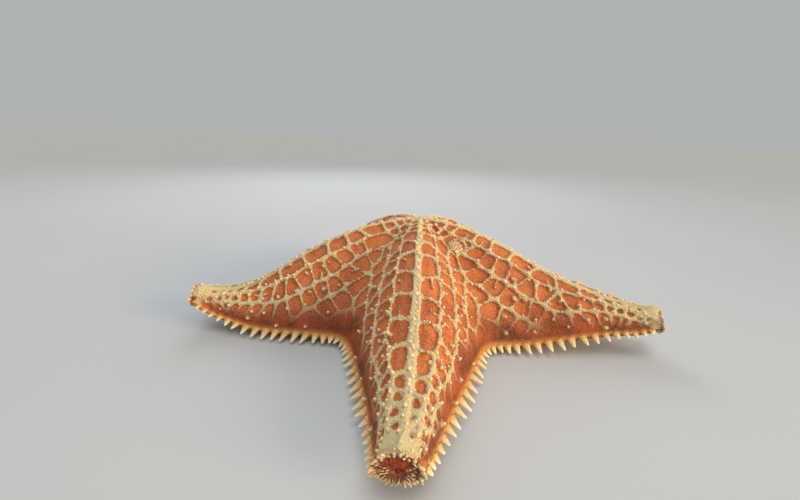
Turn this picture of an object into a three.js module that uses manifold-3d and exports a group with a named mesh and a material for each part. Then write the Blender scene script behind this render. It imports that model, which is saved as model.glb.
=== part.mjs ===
// Cushion sea star in its resting pose, life size. Millimetres, +Z up, arm_front towards -Y.
// The body is one closed surface, worked out half an arm at a time, mirrored and set round
// the disc, then parted with thin cuts into the disc and five arms.
import * as THREE from 'three';
import { mergeVertices } from 'three/addons/utils/BufferGeometryUtils.js';
import Module from 'manifold-3d';

const wasm = await Module();
wasm.setup();

// ---- Driving dimensions ----
const ARM_REACH = 150;            // disc centre to arm tip of an arm with stretch 1
const DISC_HEIGHT = 62;           // floor to the crown of the disc
const TIP_RIDGE_HEIGHT = 14;      // floor to the ridge near an arm's tip
const INTERRADIUS = 68;           // disc centre to the margin between two arms
const TIP_HALF_WIDTH = 8;         // half the arm's width at its blunt end
const MARGIN_HEIGHT = 5;          // floor to the row of edge plates
const GROOVE_HALF_WIDTH = 3.6;    // ambulacral groove under each arm
const GROOVE_DEPTH = 5.2;
const CUT_RADIUS = 62;            // disc centre to the cut at each arm's root
const CUT_GAP = 0.3;              // space between neighbouring pieces
const SPINE_LENGTH = 7;           // longest spines of the edge fringe
const SPINE_RADIUS = 1.9;
const SPINE_SPACING = 6.4;
const SPINE_DROP = 0.65;          // fall of a spine for each unit that it stands out
const KNOB_HEIGHT = 2;            // blunt knobs along each arm's ridge
const KNOB_RADIUS = 1.9;
const MADREPORITE_RADIUS = 4.6;
const MADREPORITE_HEIGHT = 1.6;
const MOUTH_RADIUS = 15;          // ring of jaws round the mouth
const EYESPOT_RADIUS = 1.3;

// How each arm lies: azimuth and sideways bend in degrees, stretch of the free arm, how much
// its tip is lifted and between which distances from the centre, and the swell of its ridge.
const ARMS = [
  { name: 'front', azimuth: -90, bend: -4.5, stretch: 1.09, lift: 5, liftFrom: 75, liftTo: 150, swell: 0 },
  { name: 'right', azimuth: -18, bend: -6, stretch: 0.94, lift: 11.3, liftFrom: 64, liftTo: 136, swell: 0 },
  { name: 'back_right', azimuth: 54, bend: -2, stretch: 0.88, lift: 0, liftFrom: 75, liftTo: 150, swell: -3 },
  { name: 'back_left', azimuth: 126, bend: -2, stretch: 0.93, lift: 0, liftFrom: 75, liftTo: 150, swell: 0 },
  { name: 'left', azimuth: 198, bend: -4, stretch: 0.89, lift: 10.5, liftFrom: 99, liftTo: 147, swell: 1.7 },
];

// ---- Shape of the body ----
const HALF_SECTOR = THREE.MathUtils.degToRad(36);
const FREE_FROM = 62;             // an arm bends and stretches beyond this distance
const END_X = ARM_REACH - 7;      // middle of the blunt end face
const END_HALF_HEIGHT = 6;
const END_TILT = THREE.MathUtils.degToRad(20);
const END_HEIGHT = MARGIN_HEIGHT + 3.5;
const END_LIP = -1.5;             // how far the groove's lower lips stand past the end face
const END_UPTURN = 4;             // rise of the underside towards the end face
const END_RECESS = 3;             // depth of the hollow in the end face
const ARM_TAPER = 1.22;           // 1 tapers straight, more tapers early
const WEB_FILLET = 2.9;           // widening of the arm's root into the web between arms
const RIDGE_TOP_X = 23.3;         // the crown is level out to here
const RIDGE_FOOT_X = 117.6;       // and the ridge has come down by here
const RIDGE_ROUNDING = 0.094;     // share of that run over which its corners are rounded
const RIDGE_END_X = END_X - 6;
const RIDGE_CROWDING = 1.5;       // stations crowd towards the disc centre
const CREST_SHIFT = 5.4;          // the ridge line comes down this much later than the shoulders
const CREST_FROM = 10;            // growing from here
const CREST_FULL = 66;            // to here
const FLANK_FULLNESS = 1.37;      // plan fullness of the side, from margin to ridge
const FLANK_RISE = 1.53;          // and how late the side rises
const EDGE_ROUNDING = 6;          // width of the rounded lower edge

// Grid of one half sector
const MARGIN_STEPS = 10;
const END_STEPS = 3;
const FLANK_STEPS = 7;

const { smoothstep, lerp, degToRad } = THREE.MathUtils;
const UP = new THREE.Vector3(0, 0, 1);

function softRamp(value) {
  const soften = (x) => RIDGE_ROUNDING * Math.log1p(Math.exp(x / RIDGE_ROUNDING));
  return soften(value) - soften(value - 1);
}

// Height of an arm's top at x: level on the crown, a straight fall, and a small rise at the end.
function topHeight(x, swell) {
  const fall = softRamp((x - RIDGE_TOP_X) / (RIDGE_FOOT_X - RIDGE_TOP_X));
  const swelling = swell * Math.sin(Math.PI * (x / RIDGE_END_X)) ** 2;
  const upturn = 3 * smoothstep(x, ARM_REACH - 26, ARM_REACH - 10);
  return lerp(DISC_HEIGHT, TIP_RIDGE_HEIGHT, fall) + swelling + upturn;
}

// Margin of half an arm, from the web (0) to the corner of its blunt end (1).
class MarginLine extends THREE.Curve {
  getPoint(t, target = new THREE.Vector3()) {
    const webX = INTERRADIUS * Math.cos(HALF_SECTOR);
    const webY = INTERRADIUS * Math.sin(HALF_SECTOR);
    const rootWidth = webY - TIP_HALF_WIDTH - WEB_FILLET;
    const slope = 1 / Math.tan(HALF_SECTOR) - (rootWidth * ARM_TAPER) / (END_X - webX);
    const fade = WEB_FILLET / slope;
    const along = Math.pow(t, 1.5);
    const x = lerp(webX, END_X, along);
    const y = TIP_HALF_WIDTH + rootWidth * Math.pow(1 - along, ARM_TAPER)
      + WEB_FILLET * Math.exp(-(x - webX) / fade);
    const z = lerp(MARGIN_HEIGHT, END_HEIGHT, smoothstep(x, END_X - 15, END_X));
    return target.set(x, y, z);
  }
}

// Point on the blunt end face at angle beta above its corner and a fraction of its radius.
function endFacePoint(beta, fraction) {
  const up = END_HALF_HEIGHT * fraction * Math.sin(beta);
  return new THREE.Vector3(
    END_X - Math.sin(END_TILT) * up,
    TIP_HALF_WIDTH * fraction * Math.cos(beta),
    END_HEIGHT + Math.cos(END_TILT) * up,
  );
}

// Stations along half an arm: points of the margin, the flank's top, the ridge, the groove's
// edge and the groove's roof.
function halfArmStations(swell) {
  const margin = new MarginLine();
  const marginLength = margin.getLength();
  const endLength = (Math.PI / 4) * (TIP_HALF_WIDTH + END_HALF_HEIGHT);
  const marginShare = marginLength / (marginLength + endLength);
  const jawX = GROOVE_HALF_WIDTH / Math.tan(HALF_SECTOR);
  const lipX = END_X + END_LIP;
  const stations = [];
  for (let k = 0; k <= MARGIN_STEPS + END_STEPS; k += 1) {
    const onMargin = k <= MARGIN_STEPS;
    const run = Math.min(1, k / MARGIN_STEPS);
    const beta = (Math.max(0, k - MARGIN_STEPS) / END_STEPS) * (Math.PI / 2);
    const edge = onMargin ? margin.getPointAt(run) : endFacePoint(beta, 1);
    const share = onMargin ? run * marginShare : lerp(marginShare, 1, beta / (Math.PI / 2));
    const ridgeX = RIDGE_END_X * Math.pow(share, RIDGE_CROWDING);
    const top = new THREE.Vector3(ridgeX, 0, topHeight(ridgeX, swell));
    const late = ridgeX - CREST_SHIFT * smoothstep(ridgeX, CREST_FROM, CREST_FULL);
    const ridge = new THREE.Vector3(ridgeX, 0, topHeight(late, swell));
    const spread = Math.pow(run, 1.3);
    const grooveTop = endFacePoint(beta, 0.55);
    const grooveX = lerp(jawX, lipX, spread);
    const under = END_UPTURN * smoothstep(grooveX, END_X - 20, END_X);
    const groove = new THREE.Vector3(
      lerp(grooveX, grooveTop.x, Math.sin(beta)),
      GROOVE_HALF_WIDTH * Math.cos(beta),
      lerp(under, grooveTop.z, Math.sin(beta)),
    );
    const roofZ = GROOVE_DEPTH + 0.5 * under + Math.sin(beta);
    const roof = new THREE.Vector3(lerp(0, END_X - END_RECESS, spread), 0, roofZ);
    stations.push({ edge, top, ridge, groove, roof });
  }
  return stations;
}

// Point of a station's flank: phi runs from 0 at the margin to a right angle at its top.
function flankPoint({ edge, top }, phi) {
  const inward = 1 - Math.pow(Math.max(0, Math.cos(phi)), FLANK_FULLNESS);
  const upward = Math.pow(Math.sin(phi), FLANK_RISE);
  return new THREE.Vector3(
    lerp(edge.x, top.x, inward),
    lerp(edge.y, top.y, inward),
    lerp(edge.z, top.z, upward),
  );
}

// One station's points, from the ridge down the flank, in under the arm and up into the groove.
function stationProfile(station) {
  const { edge, ridge, groove, roof } = station;
  const profile = [ridge.clone()];
  for (let s = 1; s <= FLANK_STEPS; s += 1) {
    profile.push(flankPoint(station, (1 - s / FLANK_STEPS) * (Math.PI / 2)));
  }
  const span = Math.hypot(groove.x - edge.x, groove.y - edge.y);
  const rounding = Math.min(EDGE_ROUNDING, 0.7 * span);
  const insets = [0.12 * rounding, 0.45 * rounding, rounding, span];
  for (const inset of insets) {
    const across = inset / span;
    const inRounding = Math.min(1, inset / rounding);
    const rise = 1 - Math.sqrt(Math.max(0, 1 - (1 - inRounding) ** 2));
    profile.push(new THREE.Vector3(
      lerp(edge.x, groove.x, across),
      lerp(edge.y, groove.y, across),
      lerp(groove.z, edge.z, rise),
    ));
  }
  profile.push(roof.clone());
  return profile;
}

// Moves a point of the straight arm on +X to its place: stretch, bend, lift, then azimuth.
function placeOnArm(point, arm) {
  const out = Math.max(0, point.x - FREE_FROM);
  const along = out * arm.stretch;
  const curl = degToRad(arm.bend) / (ARM_REACH - FREE_FROM);
  const turn = curl * along;
  const bent = Math.abs(curl) > 1e-9;
  const axisX = Math.min(point.x, FREE_FROM) + (bent ? Math.sin(turn) / curl : along);
  const axisY = bent ? (1 - Math.cos(turn)) / curl : 0;
  const placed = new THREE.Vector3(
    axisX - point.y * Math.sin(turn),
    axisY + point.y * Math.cos(turn),
    point.z + arm.lift * smoothstep(point.x, arm.liftFrom, arm.liftTo),
  );
  return placed.applyAxisAngle(UP, degToRad(arm.azimuth));
}

// ---- Solids: three.js geometry to manifold and back ----
function toSolid(geometry) {
  const bare = geometry.clone();
  bare.deleteAttribute('normal');
  bare.deleteAttribute('uv');
  const merged = mergeVertices(bare, 1e-3);
  return new wasm.Manifold(new wasm.Mesh({
    numProp: 3,
    vertProperties: new Float32Array(merged.attributes.position.array),
    triVerts: new Uint32Array(merged.index.array),
  }));
}

function toMesh(name, solid, colour, roughness) {
  const { vertProperties, triVerts } = solid.getMesh();
  const geometry = new THREE.BufferGeometry();
  geometry.setAttribute('position', new THREE.BufferAttribute(vertProperties, 3));
  geometry.setIndex(new THREE.BufferAttribute(triVerts, 1));
  geometry.computeVertexNormals();
  const material = new THREE.MeshStandardMaterial({ color: colour, roughness, metalness: 0, flatShading: true });
  const mesh = new THREE.Mesh(geometry, material);
  mesh.name = name;
  return mesh;
}

function bodySolid() {
  const positions = [];
  for (const arm of ARMS) {
    const profiles = halfArmStations(arm.swell).map(stationProfile);
    for (const side of [1, -1]) {
      const grid = profiles.map((profile) => profile.map((p) => {
        const sided = new THREE.Vector3(p.x, p.y * side, p.z);
        return placeOnArm(sided, arm);
      }));
      for (let k = 0; k + 1 < grid.length; k += 1) {
        for (let s = 0; s + 1 < grid[k].length; s += 1) {
          const a = grid[k][s];
          const b = grid[k + 1][s];
          const c = grid[k + 1][s + 1];
          const d = grid[k][s + 1];
          const split = s < FLANK_STEPS ? [a, b, d, b, c, d] : [a, b, c, a, c, d];
          if (side < 0) split.reverse();
          split.forEach((p) => positions.push(p.x, p.y, p.z));
        }
      }
    }
  }
  const geometry = new THREE.BufferGeometry();
  geometry.setAttribute('position', new THREE.Float32BufferAttribute(positions, 3));
  return toSolid(geometry);
}

// ---- Things that grow from the body ----
function coneBetween(foot, tip, radius, sides) {
  const axis = new THREE.Vector3().subVectors(tip, foot);
  const cone = new THREE.ConeGeometry(radius, axis.length(), sides);
  cone.translate(0, axis.length() / 2, 0);
  const stand = new THREE.Quaternion().setFromUnitVectors(new THREE.Vector3(0, 1, 0), axis.normalize());
  cone.applyQuaternion(stand);
  cone.translate(foot.x, foot.y, foot.z);
  return cone;
}

// A spine rooted in the straight arm's surface, set on the placed arm.
function spineSolid(root, direction, length, radius, arm) {
  const foot = placeOnArm(root.clone().addScaledVector(direction, -radius), arm);
  const tip = placeOnArm(root.clone().addScaledVector(direction, length), arm);
  return toSolid(coneBetween(foot, tip, radius, 4));
}

// Fringe of spines along both margins: short and close in the web, longest at mid arm.
function edgeSpines(arm) {
  const margin = new MarginLine();
  const marginLength = margin.getLength();
  const spines = [];
  let along = SPINE_SPACING * 0.31;
  while (along < marginLength - 1.5) {
    const share = along / marginLength;
    const root = margin.getPointAt(share);
    const tangent = margin.getTangentAt(share);
    const webGrowth = smoothstep(share, 0, 0.25);
    const tipGrowth = 1 - smoothstep(share, 0.5, 0.95);
    const growth = lerp(0.6, 1, webGrowth) * lerp(0.42, 1, tipGrowth);
    for (const side of [1, -1]) {
      const outward = new THREE.Vector3(-tangent.y, tangent.x * side, 0).setLength(1);
      outward.add(new THREE.Vector3(0.3 * webGrowth, 0, -SPINE_DROP)).normalize();
      const sided = new THREE.Vector3(root.x, root.y * side, root.z - 0.5);
      const girth = SPINE_RADIUS * lerp(0.6, 1, growth);
      spines.push(spineSolid(sided, outward, SPINE_LENGTH * growth, girth, arm));
    }
    along += SPINE_SPACING * lerp(0.65, 1, webGrowth) * lerp(0.65, 1, tipGrowth);
  }
  return spines;
}

// Small spines that frame the blunt end of an arm.
function endSpines(arm) {
  const spines = [];
  for (const beta of [0.15, 0.5, 0.85].map((turn) => turn * Math.PI)) {
    const root = endFacePoint(beta, 0.85);
    const centre = endFacePoint(beta, 0);
    const outward = new THREE.Vector3().subVectors(root, centre).normalize();
    outward.add(new THREE.Vector3(1.2, 0, 0.2)).normalize();
    spines.push(spineSolid(root, outward, 3.2, 1.1, arm));
  }
  return spines;
}

// Blunt knobs along the ridge, smaller towards the tip.
function ridgeKnobs(arm) {
  const ridge = new THREE.CatmullRomCurve3(halfArmStations(arm.swell).map((station) => station.ridge));
  const knobs = [];
  for (let along = 8; along < 124; along += 13) {
    const size = lerp(1, 0.65, along / 124);
    const share = along / ridge.getLength();
    const tangent = ridge.getTangentAt(share);
    const outward = new THREE.Vector3(-tangent.z, 0, tangent.x);
    knobs.push(spineSolid(ridge.getPointAt(share), outward, KNOB_HEIGHT * size, KNOB_RADIUS * size, arm));
  }
  return knobs;
}

// ---- Cutting tools ----
function boxBeyond(arm, from) {
  const box = new THREE.BoxGeometry(200, 220, 160);
  box.translate(from + 100, 0, 40);
  box.rotateZ(degToRad(arm.azimuth));
  return toSolid(box);
}

function uprightCylinder(radius, bottom, top, sides) {
  const cylinder = new THREE.CylinderGeometry(radius, radius, top - bottom, sides);
  cylinder.rotateX(Math.PI / 2);
  cylinder.translate(0, 0, (top + bottom) / 2);
  return toSolid(cylinder);
}

// Sieve plate on the disc, a low lens lying square to the flank, on the right arm's side
// that faces the front arm.
function madreporiteSolid(growth) {
  const mirrored = new THREE.Vector3(1, -1, 1);
  const station = halfArmStations(0)[1];
  const phi = degToRad(60);
  const place = flankPoint(station, phi).multiply(mirrored);
  const uphill = flankPoint(station, phi + 0.02).multiply(mirrored).sub(place);
  const across = new THREE.Vector3(Math.sin(HALF_SECTOR), Math.cos(HALF_SECTOR), 0);
  const normal = new THREE.Vector3().crossVectors(across, uphill).normalize();
  const lens = new THREE.SphereGeometry(1, 12, 6);
  lens.rotateX(Math.PI / 2);
  lens.scale(MADREPORITE_RADIUS + growth, MADREPORITE_RADIUS + growth, MADREPORITE_HEIGHT + growth);
  lens.applyQuaternion(new THREE.Quaternion().setFromUnitVectors(UP, normal));
  lens.translate(place.x, place.y, place.z);
  lens.rotateZ(degToRad(ARMS[1].azimuth));
  return toSolid(lens);
}

function eyespotSolid(arm, growth) {
  const centre = placeOnArm(new THREE.Vector3(END_X - END_RECESS + 0.6, 0, END_HEIGHT - 0.8), arm);
  const bead = new THREE.SphereGeometry(EYESPOT_RADIUS + growth, 8, 4);
  bead.translate(centre.x, centre.y, centre.z);
  return toSolid(bead);
}

// ---- Putting it together ----
const SKIN_COLOUR = 0xc9743a;
const MOUTH_COLOUR = 0xd8b98a;
const PLATE_COLOUR = 0xe6d2a8;
const EYE_COLOUR = 0x8a2a1a;

let body = bodySolid();
for (const arm of ARMS) {
  const growths = [...edgeSpines(arm), ...endSpines(arm), ...ridgeKnobs(arm)];
  for (const growth of growths) body = body.add(growth);
}

const group = new THREE.Group();

const mouthHeight = GROOVE_DEPTH + 3.5;
let mouth = body.intersect(uprightCylinder(MOUTH_RADIUS, -5, mouthHeight, 15));
mouth = mouth.subtract(uprightCylinder(2.6, -5, mouthHeight - 1, 5));
group.add(toMesh('mouth', mouth, MOUTH_COLOUR, 0.8));

let disc = body.subtract(uprightCylinder(MOUTH_RADIUS + CUT_GAP, -5, mouthHeight + CUT_GAP, 15));
disc = disc.subtract(madreporiteSolid(CUT_GAP));
for (const arm of ARMS) disc = disc.subtract(boxBeyond(arm, CUT_RADIUS - CUT_GAP / 2));
group.add(toMesh('disc', disc, SKIN_COLOUR, 0.8));
group.add(toMesh('madreporite', madreporiteSolid(0), PLATE_COLOUR, 0.85));

for (const arm of ARMS) {
  const beyond = body.intersect(boxBeyond(arm, CUT_RADIUS + CUT_GAP / 2));
  const limb = beyond.subtract(eyespotSolid(arm, CUT_GAP));
  group.add(toMesh(`arm_${arm.name}`, limb, SKIN_COLOUR, 0.8));
  group.add(toMesh(`eyespot_${arm.name}`, eyespotSolid(arm, 0), EYE_COLOUR, 0.4));
}

// The origin is on the floor, in the middle of the star's own box.
const box = new THREE.Box3().setFromObject(group);
const middle = box.getCenter(new THREE.Vector3());
group.position.set(-middle.x, -middle.y, -box.min.z);

export default group;
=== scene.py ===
# Cushion sea star at life size, resting on a plain floor. Lengths are millimetres and
# places are measured from the point on the floor under the disc's crown, unless a comment
# says otherwise. Meshes are written in metres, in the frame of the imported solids.
import bpy
import numpy as np
from mathutils import Matrix, Vector


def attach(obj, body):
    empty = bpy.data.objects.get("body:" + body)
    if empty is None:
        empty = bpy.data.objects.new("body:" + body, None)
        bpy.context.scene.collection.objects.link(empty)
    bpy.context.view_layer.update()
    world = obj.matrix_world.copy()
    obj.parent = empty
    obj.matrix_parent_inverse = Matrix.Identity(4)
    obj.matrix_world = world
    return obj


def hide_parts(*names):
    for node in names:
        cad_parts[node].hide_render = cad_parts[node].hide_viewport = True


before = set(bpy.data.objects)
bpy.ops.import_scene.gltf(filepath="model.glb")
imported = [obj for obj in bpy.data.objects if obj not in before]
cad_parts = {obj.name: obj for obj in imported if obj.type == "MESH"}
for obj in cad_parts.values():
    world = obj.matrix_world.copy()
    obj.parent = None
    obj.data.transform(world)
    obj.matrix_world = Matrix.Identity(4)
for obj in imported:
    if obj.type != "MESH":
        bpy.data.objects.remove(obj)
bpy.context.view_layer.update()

# ---- Studio ----
# The animal lies on a pale, very large matt floor under an even sky. Two soft-edged suns
# stand in front and, low and warm, on the right. A near lamp over the front arm lights that
# part most, and a broad lamp behind lights the edges. The lens is wide and low.
MM = 0.001
DISC_CENTRE = np.array([-1.616, 17.520, 0.0])      # in the frame, whose origin is the box's middle
IMAGE_WIDTH = 800                                  # pixels
FOCAL_LENGTH = 407.6                               # pixels
SENSOR_WIDTH = 36.0
CAMERA_PLACE = np.array([0.22, -250.0, 114.52])
CAMERA_PITCH = np.radians(16.457)                  # down from level
CAMERA_TURN = np.radians(2.79)                     # to the left of +Y
CAMERA_ROLL = np.radians(1.70)
FLOOR_RADIUS = 9000.0
FLOOR_COLOUR = (0.55, 0.58, 0.61, 1.0)
FLOOR_MOTTLE = 0.93                                # its darkest part over its lightest
SKY_COLOUR = (0.75, 0.77, 0.78, 1.0)
SKY_STRENGTH = 0.58
SUN_ANGLE = np.radians(30)                         # how wide a sun looks, for soft shadows
SUNS = {                                           # strength, colour, where it stands
    "front_sun": (0.58, (1.0, 0.95, 0.87), (-0.06, -0.46, 0.88)),
    "warm_sun": (3.2, (1.0, 0.77, 0.50), (0.88, -0.42, 0.20)),
}
LAMPS = {                                          # watts, colour, where it stands, its width
    "near_lamp": (0.31, (1.0, 0.96, 0.88), (120, -190, 390), 200),
    "edge_lamp": (2.0, (0.94, 0.97, 1.0), (-160, 640, 560), 500),
}


def place_camera():
    """Camera axes: look down by the pitch after turning left, then roll about the view line."""
    look = np.array([
        -np.sin(CAMERA_TURN) * np.cos(CAMERA_PITCH),
        np.cos(CAMERA_TURN) * np.cos(CAMERA_PITCH),
        -np.sin(CAMERA_PITCH),
    ])
    level = np.array([np.cos(CAMERA_TURN), np.sin(CAMERA_TURN), 0.0])
    above = np.cross(level, look)
    right = level * np.cos(CAMERA_ROLL) + above * np.sin(CAMERA_ROLL)
    up = above * np.cos(CAMERA_ROLL) - level * np.sin(CAMERA_ROLL)
    data = bpy.data.cameras.new("studio_camera")
    data.sensor_width = SENSOR_WIDTH
    data.lens = FOCAL_LENGTH * SENSOR_WIDTH / IMAGE_WIDTH
    data.clip_start = 0.005
    data.clip_end = 100.0
    camera = bpy.data.objects.new("studio_camera", data)
    place = Matrix.Translation(Vector((CAMERA_PLACE + DISC_CENTRE) * MM))
    turn = Matrix(np.column_stack([right, up, -look]).tolist()).to_4x4()
    camera.matrix_world = place @ turn
    bpy.context.scene.collection.objects.link(camera)
    bpy.context.scene.camera = camera


def hang_light(name, kind, power, colour, stand, aim):
    """Light at stand that shines towards aim. Returns its settings."""
    data = bpy.data.lights.new(name, kind)
    data.energy = power
    data.color = colour
    lamp = bpy.data.objects.new(name, data)
    turn = (aim - stand).to_track_quat("-Z", "Y").to_matrix().to_4x4()
    lamp.matrix_world = Matrix.Translation(stand) @ turn
    bpy.context.scene.collection.objects.link(lamp)
    return data


def hang_lights():
    """Distant suns with wide soft shadows, and square lamps that face the disc's middle."""
    for name, (strength, colour, stand) in SUNS.items():
        sun = hang_light(name, "SUN", strength, colour, Vector(stand), Vector((0, 0, 0)))
        sun.angle = SUN_ANGLE
    middle = Vector(DISC_CENTRE * MM)
    for name, (watts, colour, place, width) in LAMPS.items():
        stand = Vector((np.array(place) + DISC_CENTRE) * MM)
        lamp = hang_light(name, "AREA", watts, colour, stand, middle)
        lamp.size = width * MM


def put(tree, kind, inputs=None, **settings):
    """Adds a shader node. A socket given as an input is linked, and any other value is set."""
    node = tree.nodes.new(kind)
    for key, value in settings.items():
        setattr(node, key, value)
    for key, value in (inputs or {}).items():
        if isinstance(value, bpy.types.NodeSocket):
            tree.links.new(value, node.inputs[key])
        else:
            node.inputs[key].default_value = value
    return node


def new_finish(name):
    """A material holding only a Principled shader and its output."""
    material = bpy.data.materials.new(name)
    material.use_nodes = True
    tree = material.node_tree
    tree.nodes.clear()
    shader = tree.nodes.new("ShaderNodeBsdfPrincipled")
    put(tree, "ShaderNodeOutputMaterial", {"Surface": shader.outputs["BSDF"]})
    return material, tree, shader


def blend_colours(tree, factor, first, second):
    """Socket of a colour that goes from first to second as factor goes from 0 to 1."""
    return put(tree, "ShaderNodeMix", {0: factor, 6: first, 7: second}, data_type="RGBA").outputs[2]


def ramp(tree, value, low, high):
    """Socket that rises smoothly from 0 at low to 1 at high."""
    inputs = {"Value": value, "From Min": low, "From Max": high}
    return put(tree, "ShaderNodeMapRange", inputs, interpolation_type="SMOOTHSTEP").outputs[0]


def clouds(tree, scale, detail=3.0, **more):
    """Socket of a cloudy pattern in the piece's own coordinates, scale clouds to a metre."""
    place = put(tree, "ShaderNodeTexCoord").outputs["Object"]
    inputs = {"Vector": place, "Scale": scale, "Detail": detail, **more}
    return put(tree, "ShaderNodeTexNoise", inputs).outputs["Fac"]


def lay_floor():
    """Flat disc at the height of the lowest point, with a faint mottle."""
    turn = np.linspace(0, 2 * np.pi, 97)[:-1]
    rim = np.column_stack([np.cos(turn), np.sin(turn), 0 * turn]) * FLOOR_RADIUS
    mesh = bpy.data.meshes.new("floor")
    mesh.from_pydata((rim * MM).tolist(), [], [list(range(len(rim)))])
    floor = bpy.data.objects.new("floor", mesh)
    bpy.context.scene.collection.objects.link(floor)
    material, tree, shader = new_finish("floor_paint")
    dusk = tuple(FLOOR_MOTTLE * c for c in FLOOR_COLOUR[:3]) + (1.0,)
    shade = blend_colours(tree, clouds(tree, 6.0, 4.0), dusk, FLOOR_COLOUR)
    tree.links.new(shade, shader.inputs["Base Color"])
    shader.inputs["Roughness"].default_value = 0.9
    mesh.materials.append(material)


def light_the_sky():
    """Even pale light from all round."""
    world = bpy.data.worlds.new("studio_sky")
    bpy.context.scene.world = world
    world.use_nodes = True
    background = world.node_tree.nodes["Background"]
    background.inputs["Color"].default_value = SKY_COLOUR
    background.inputs["Strength"].default_value = SKY_STRENGTH


place_camera()
bpy.context.scene.view_settings.view_transform = "Standard"     # colours as they are
lay_floor()
light_the_sky()
hang_lights()

# ---- Skin ----
# The leathery skin that covers disc and arms in one piece. Limy plates under it stand up
# as a raised cream network, and the thin skin between them, full of small gills, is sunken
# and orange-red. It is grown as one sheet, so nothing joins it.
ARM_REACH = 150.0                  # from the disc's middle to the end of an arm
INTERRADIUS = 68.0                 # and to the web between two arms
HALF_SECTOR = np.radians(36)
ARM_TAPER = 1.22
WEB_FILLET = 2.9
MARGIN_CROWDING = 1.5              # the grid is closest in the web
MARGIN_HEIGHT = 5.0
TIP_HALF_WIDTH = 8.0
END_X = ARM_REACH - 7              # the arm's blunt end: place, shape and lean
END_HALF_HEIGHT = 6.0
END_TILT = np.radians(20)
END_HEIGHT = MARGIN_HEIGHT + 3.5   # of its corners, which the margin climbs to
END_CLIMB = 15.0                   # over this run
END_LIP = -1.5                     # the furrow's end before the blunt end
END_UPTURN = 4.0                   # and how far it turns up
END_UPTURN_RUN = 20.0
END_RECESS = 3.0                   # depth of the hollow face
END_TOP_SHARE = 0.55
DISC_HEIGHT = 62.0
TIP_RIDGE_HEIGHT = 14.0
TIP_RISE = 3.0                     # the ridge comes up again by this much near its end
TIP_RISE_SPAN = (ARM_REACH - 26, ARM_REACH - 10)
RIDGE_TOP_X, RIDGE_FOOT_X = 23.3, 117.6    # its straight fall
RIDGE_ROUNDING = 0.094             # of the two bends, over the length of the fall
RIDGE_END_X = END_X - 6
RIDGE_CROWDING = 1.5
CREST_SHIFT = 5.4                  # the ridge comes down this much later than the shoulders
CREST_FROM, CREST_FULL = 10.0, 66.0    # growing between these distances from the centre
CREST_SHARE = 0.78                 # place on the flank where the shoulder turns into the ridge
FLANK_FULLNESS = 1.37              # powers that shape the flank's cross-section
FLANK_RISE = 1.53
RIDGE_BROADNESS = 0.35
EDGE_ROUNDING = 6.0
GROOVE_HALF_WIDTH = 3.6            # furrow under each arm
GROOVE_DEPTH = 5.2
GROOVE_CROWDING = 1.3
UNDER_CLEARANCE = 1.9              # left under the skin for the spinelets of the underside
FREE_FROM = 62.0                   # arms bend and stretch beyond this distance
ARMS = {
    # turned to, bent by, length over the full one, lift of the tip, where it lifts, ridge swell
    "front": dict(azimuth=-90, bend=-4.5, stretch=1.09, lift=5.0, between=(75, 150), swell=0.0),
    "right": dict(azimuth=-18, bend=-6.0, stretch=0.94, lift=11.3, between=(64, 136), swell=0.0),
    "back_right": dict(azimuth=54, bend=-2.0, stretch=0.88, lift=0.0, between=(75, 150), swell=-3.0),
    "back_left": dict(azimuth=126, bend=-2.0, stretch=0.93, lift=0.0, between=(75, 150), swell=0.0),
    "left": dict(azimuth=198, bend=-4.0, stretch=0.89, lift=10.5, between=(99, 147), swell=1.7),
}
MARGIN_STEPS = 94                  # grid of one half arm
END_STEPS = 16
FLANK_STEPS = 72
UNDER_STEPS = (5, 7, 5)            # rounded edge, flat sole, furrow wall


def mix(a, b, t):
    """Straight blend from a to b."""
    return a + (b - a) * t


def smoothstep(low, high, x):
    """0 below low, 1 above high, and 3t^2 - 2t^3 between."""
    t = np.clip((x - low) / (high - low), 0, 1)
    return t * t * (3 - 2 * t)


def margin_line(t):
    """Edge of half an arm. x runs from the web to the blunt end as a power of t. The width
    falls as a power of what is left of the run, and widens into the web by a fading
    exponential."""
    web_x = INTERRADIUS * np.cos(HALF_SECTOR)
    root_width = INTERRADIUS * np.sin(HALF_SECTOR) - TIP_HALF_WIDTH - WEB_FILLET
    slope = 1 / np.tan(HALF_SECTOR) - root_width * ARM_TAPER / (END_X - web_x)
    along = t ** MARGIN_CROWDING
    x = mix(web_x, END_X, along)
    fillet = WEB_FILLET * np.exp(-(x - web_x) * slope / WEB_FILLET)
    y = TIP_HALF_WIDTH + root_width * (1 - along) ** ARM_TAPER + fillet
    z = mix(MARGIN_HEIGHT, END_HEIGHT, smoothstep(END_X - END_CLIMB, END_X, x))
    return np.stack([x, y, z], -1)


def end_face_point(beta, fraction):
    """Ellipse of the blunt end, leaning back by END_TILT, at angle beta above its corner."""
    up = END_HALF_HEIGHT * fraction * np.sin(beta)
    side = TIP_HALF_WIDTH * fraction * np.cos(beta)
    return np.stack([END_X - np.sin(END_TILT) * up, side, END_HEIGHT + np.cos(END_TILT) * up], -1)


MARGIN_T = np.linspace(0, 1, 3001)
MARGIN_WALK = np.cumsum(np.linalg.norm(np.diff(margin_line(MARGIN_T), axis=0), axis=1))
MARGIN_WALK = np.concatenate([[0.0], MARGIN_WALK])
MARGIN_LENGTH = MARGIN_WALK[-1]
END_LENGTH = np.pi / 4 * (TIP_HALF_WIDTH + END_HALF_HEIGHT)
MARGIN_SHARE = MARGIN_LENGTH / (MARGIN_LENGTH + END_LENGTH)


def margin_point(run):
    """Point of the margin at a fraction of its length."""
    return margin_line(np.interp(run * MARGIN_LENGTH, MARGIN_WALK, MARGIN_T))


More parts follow.
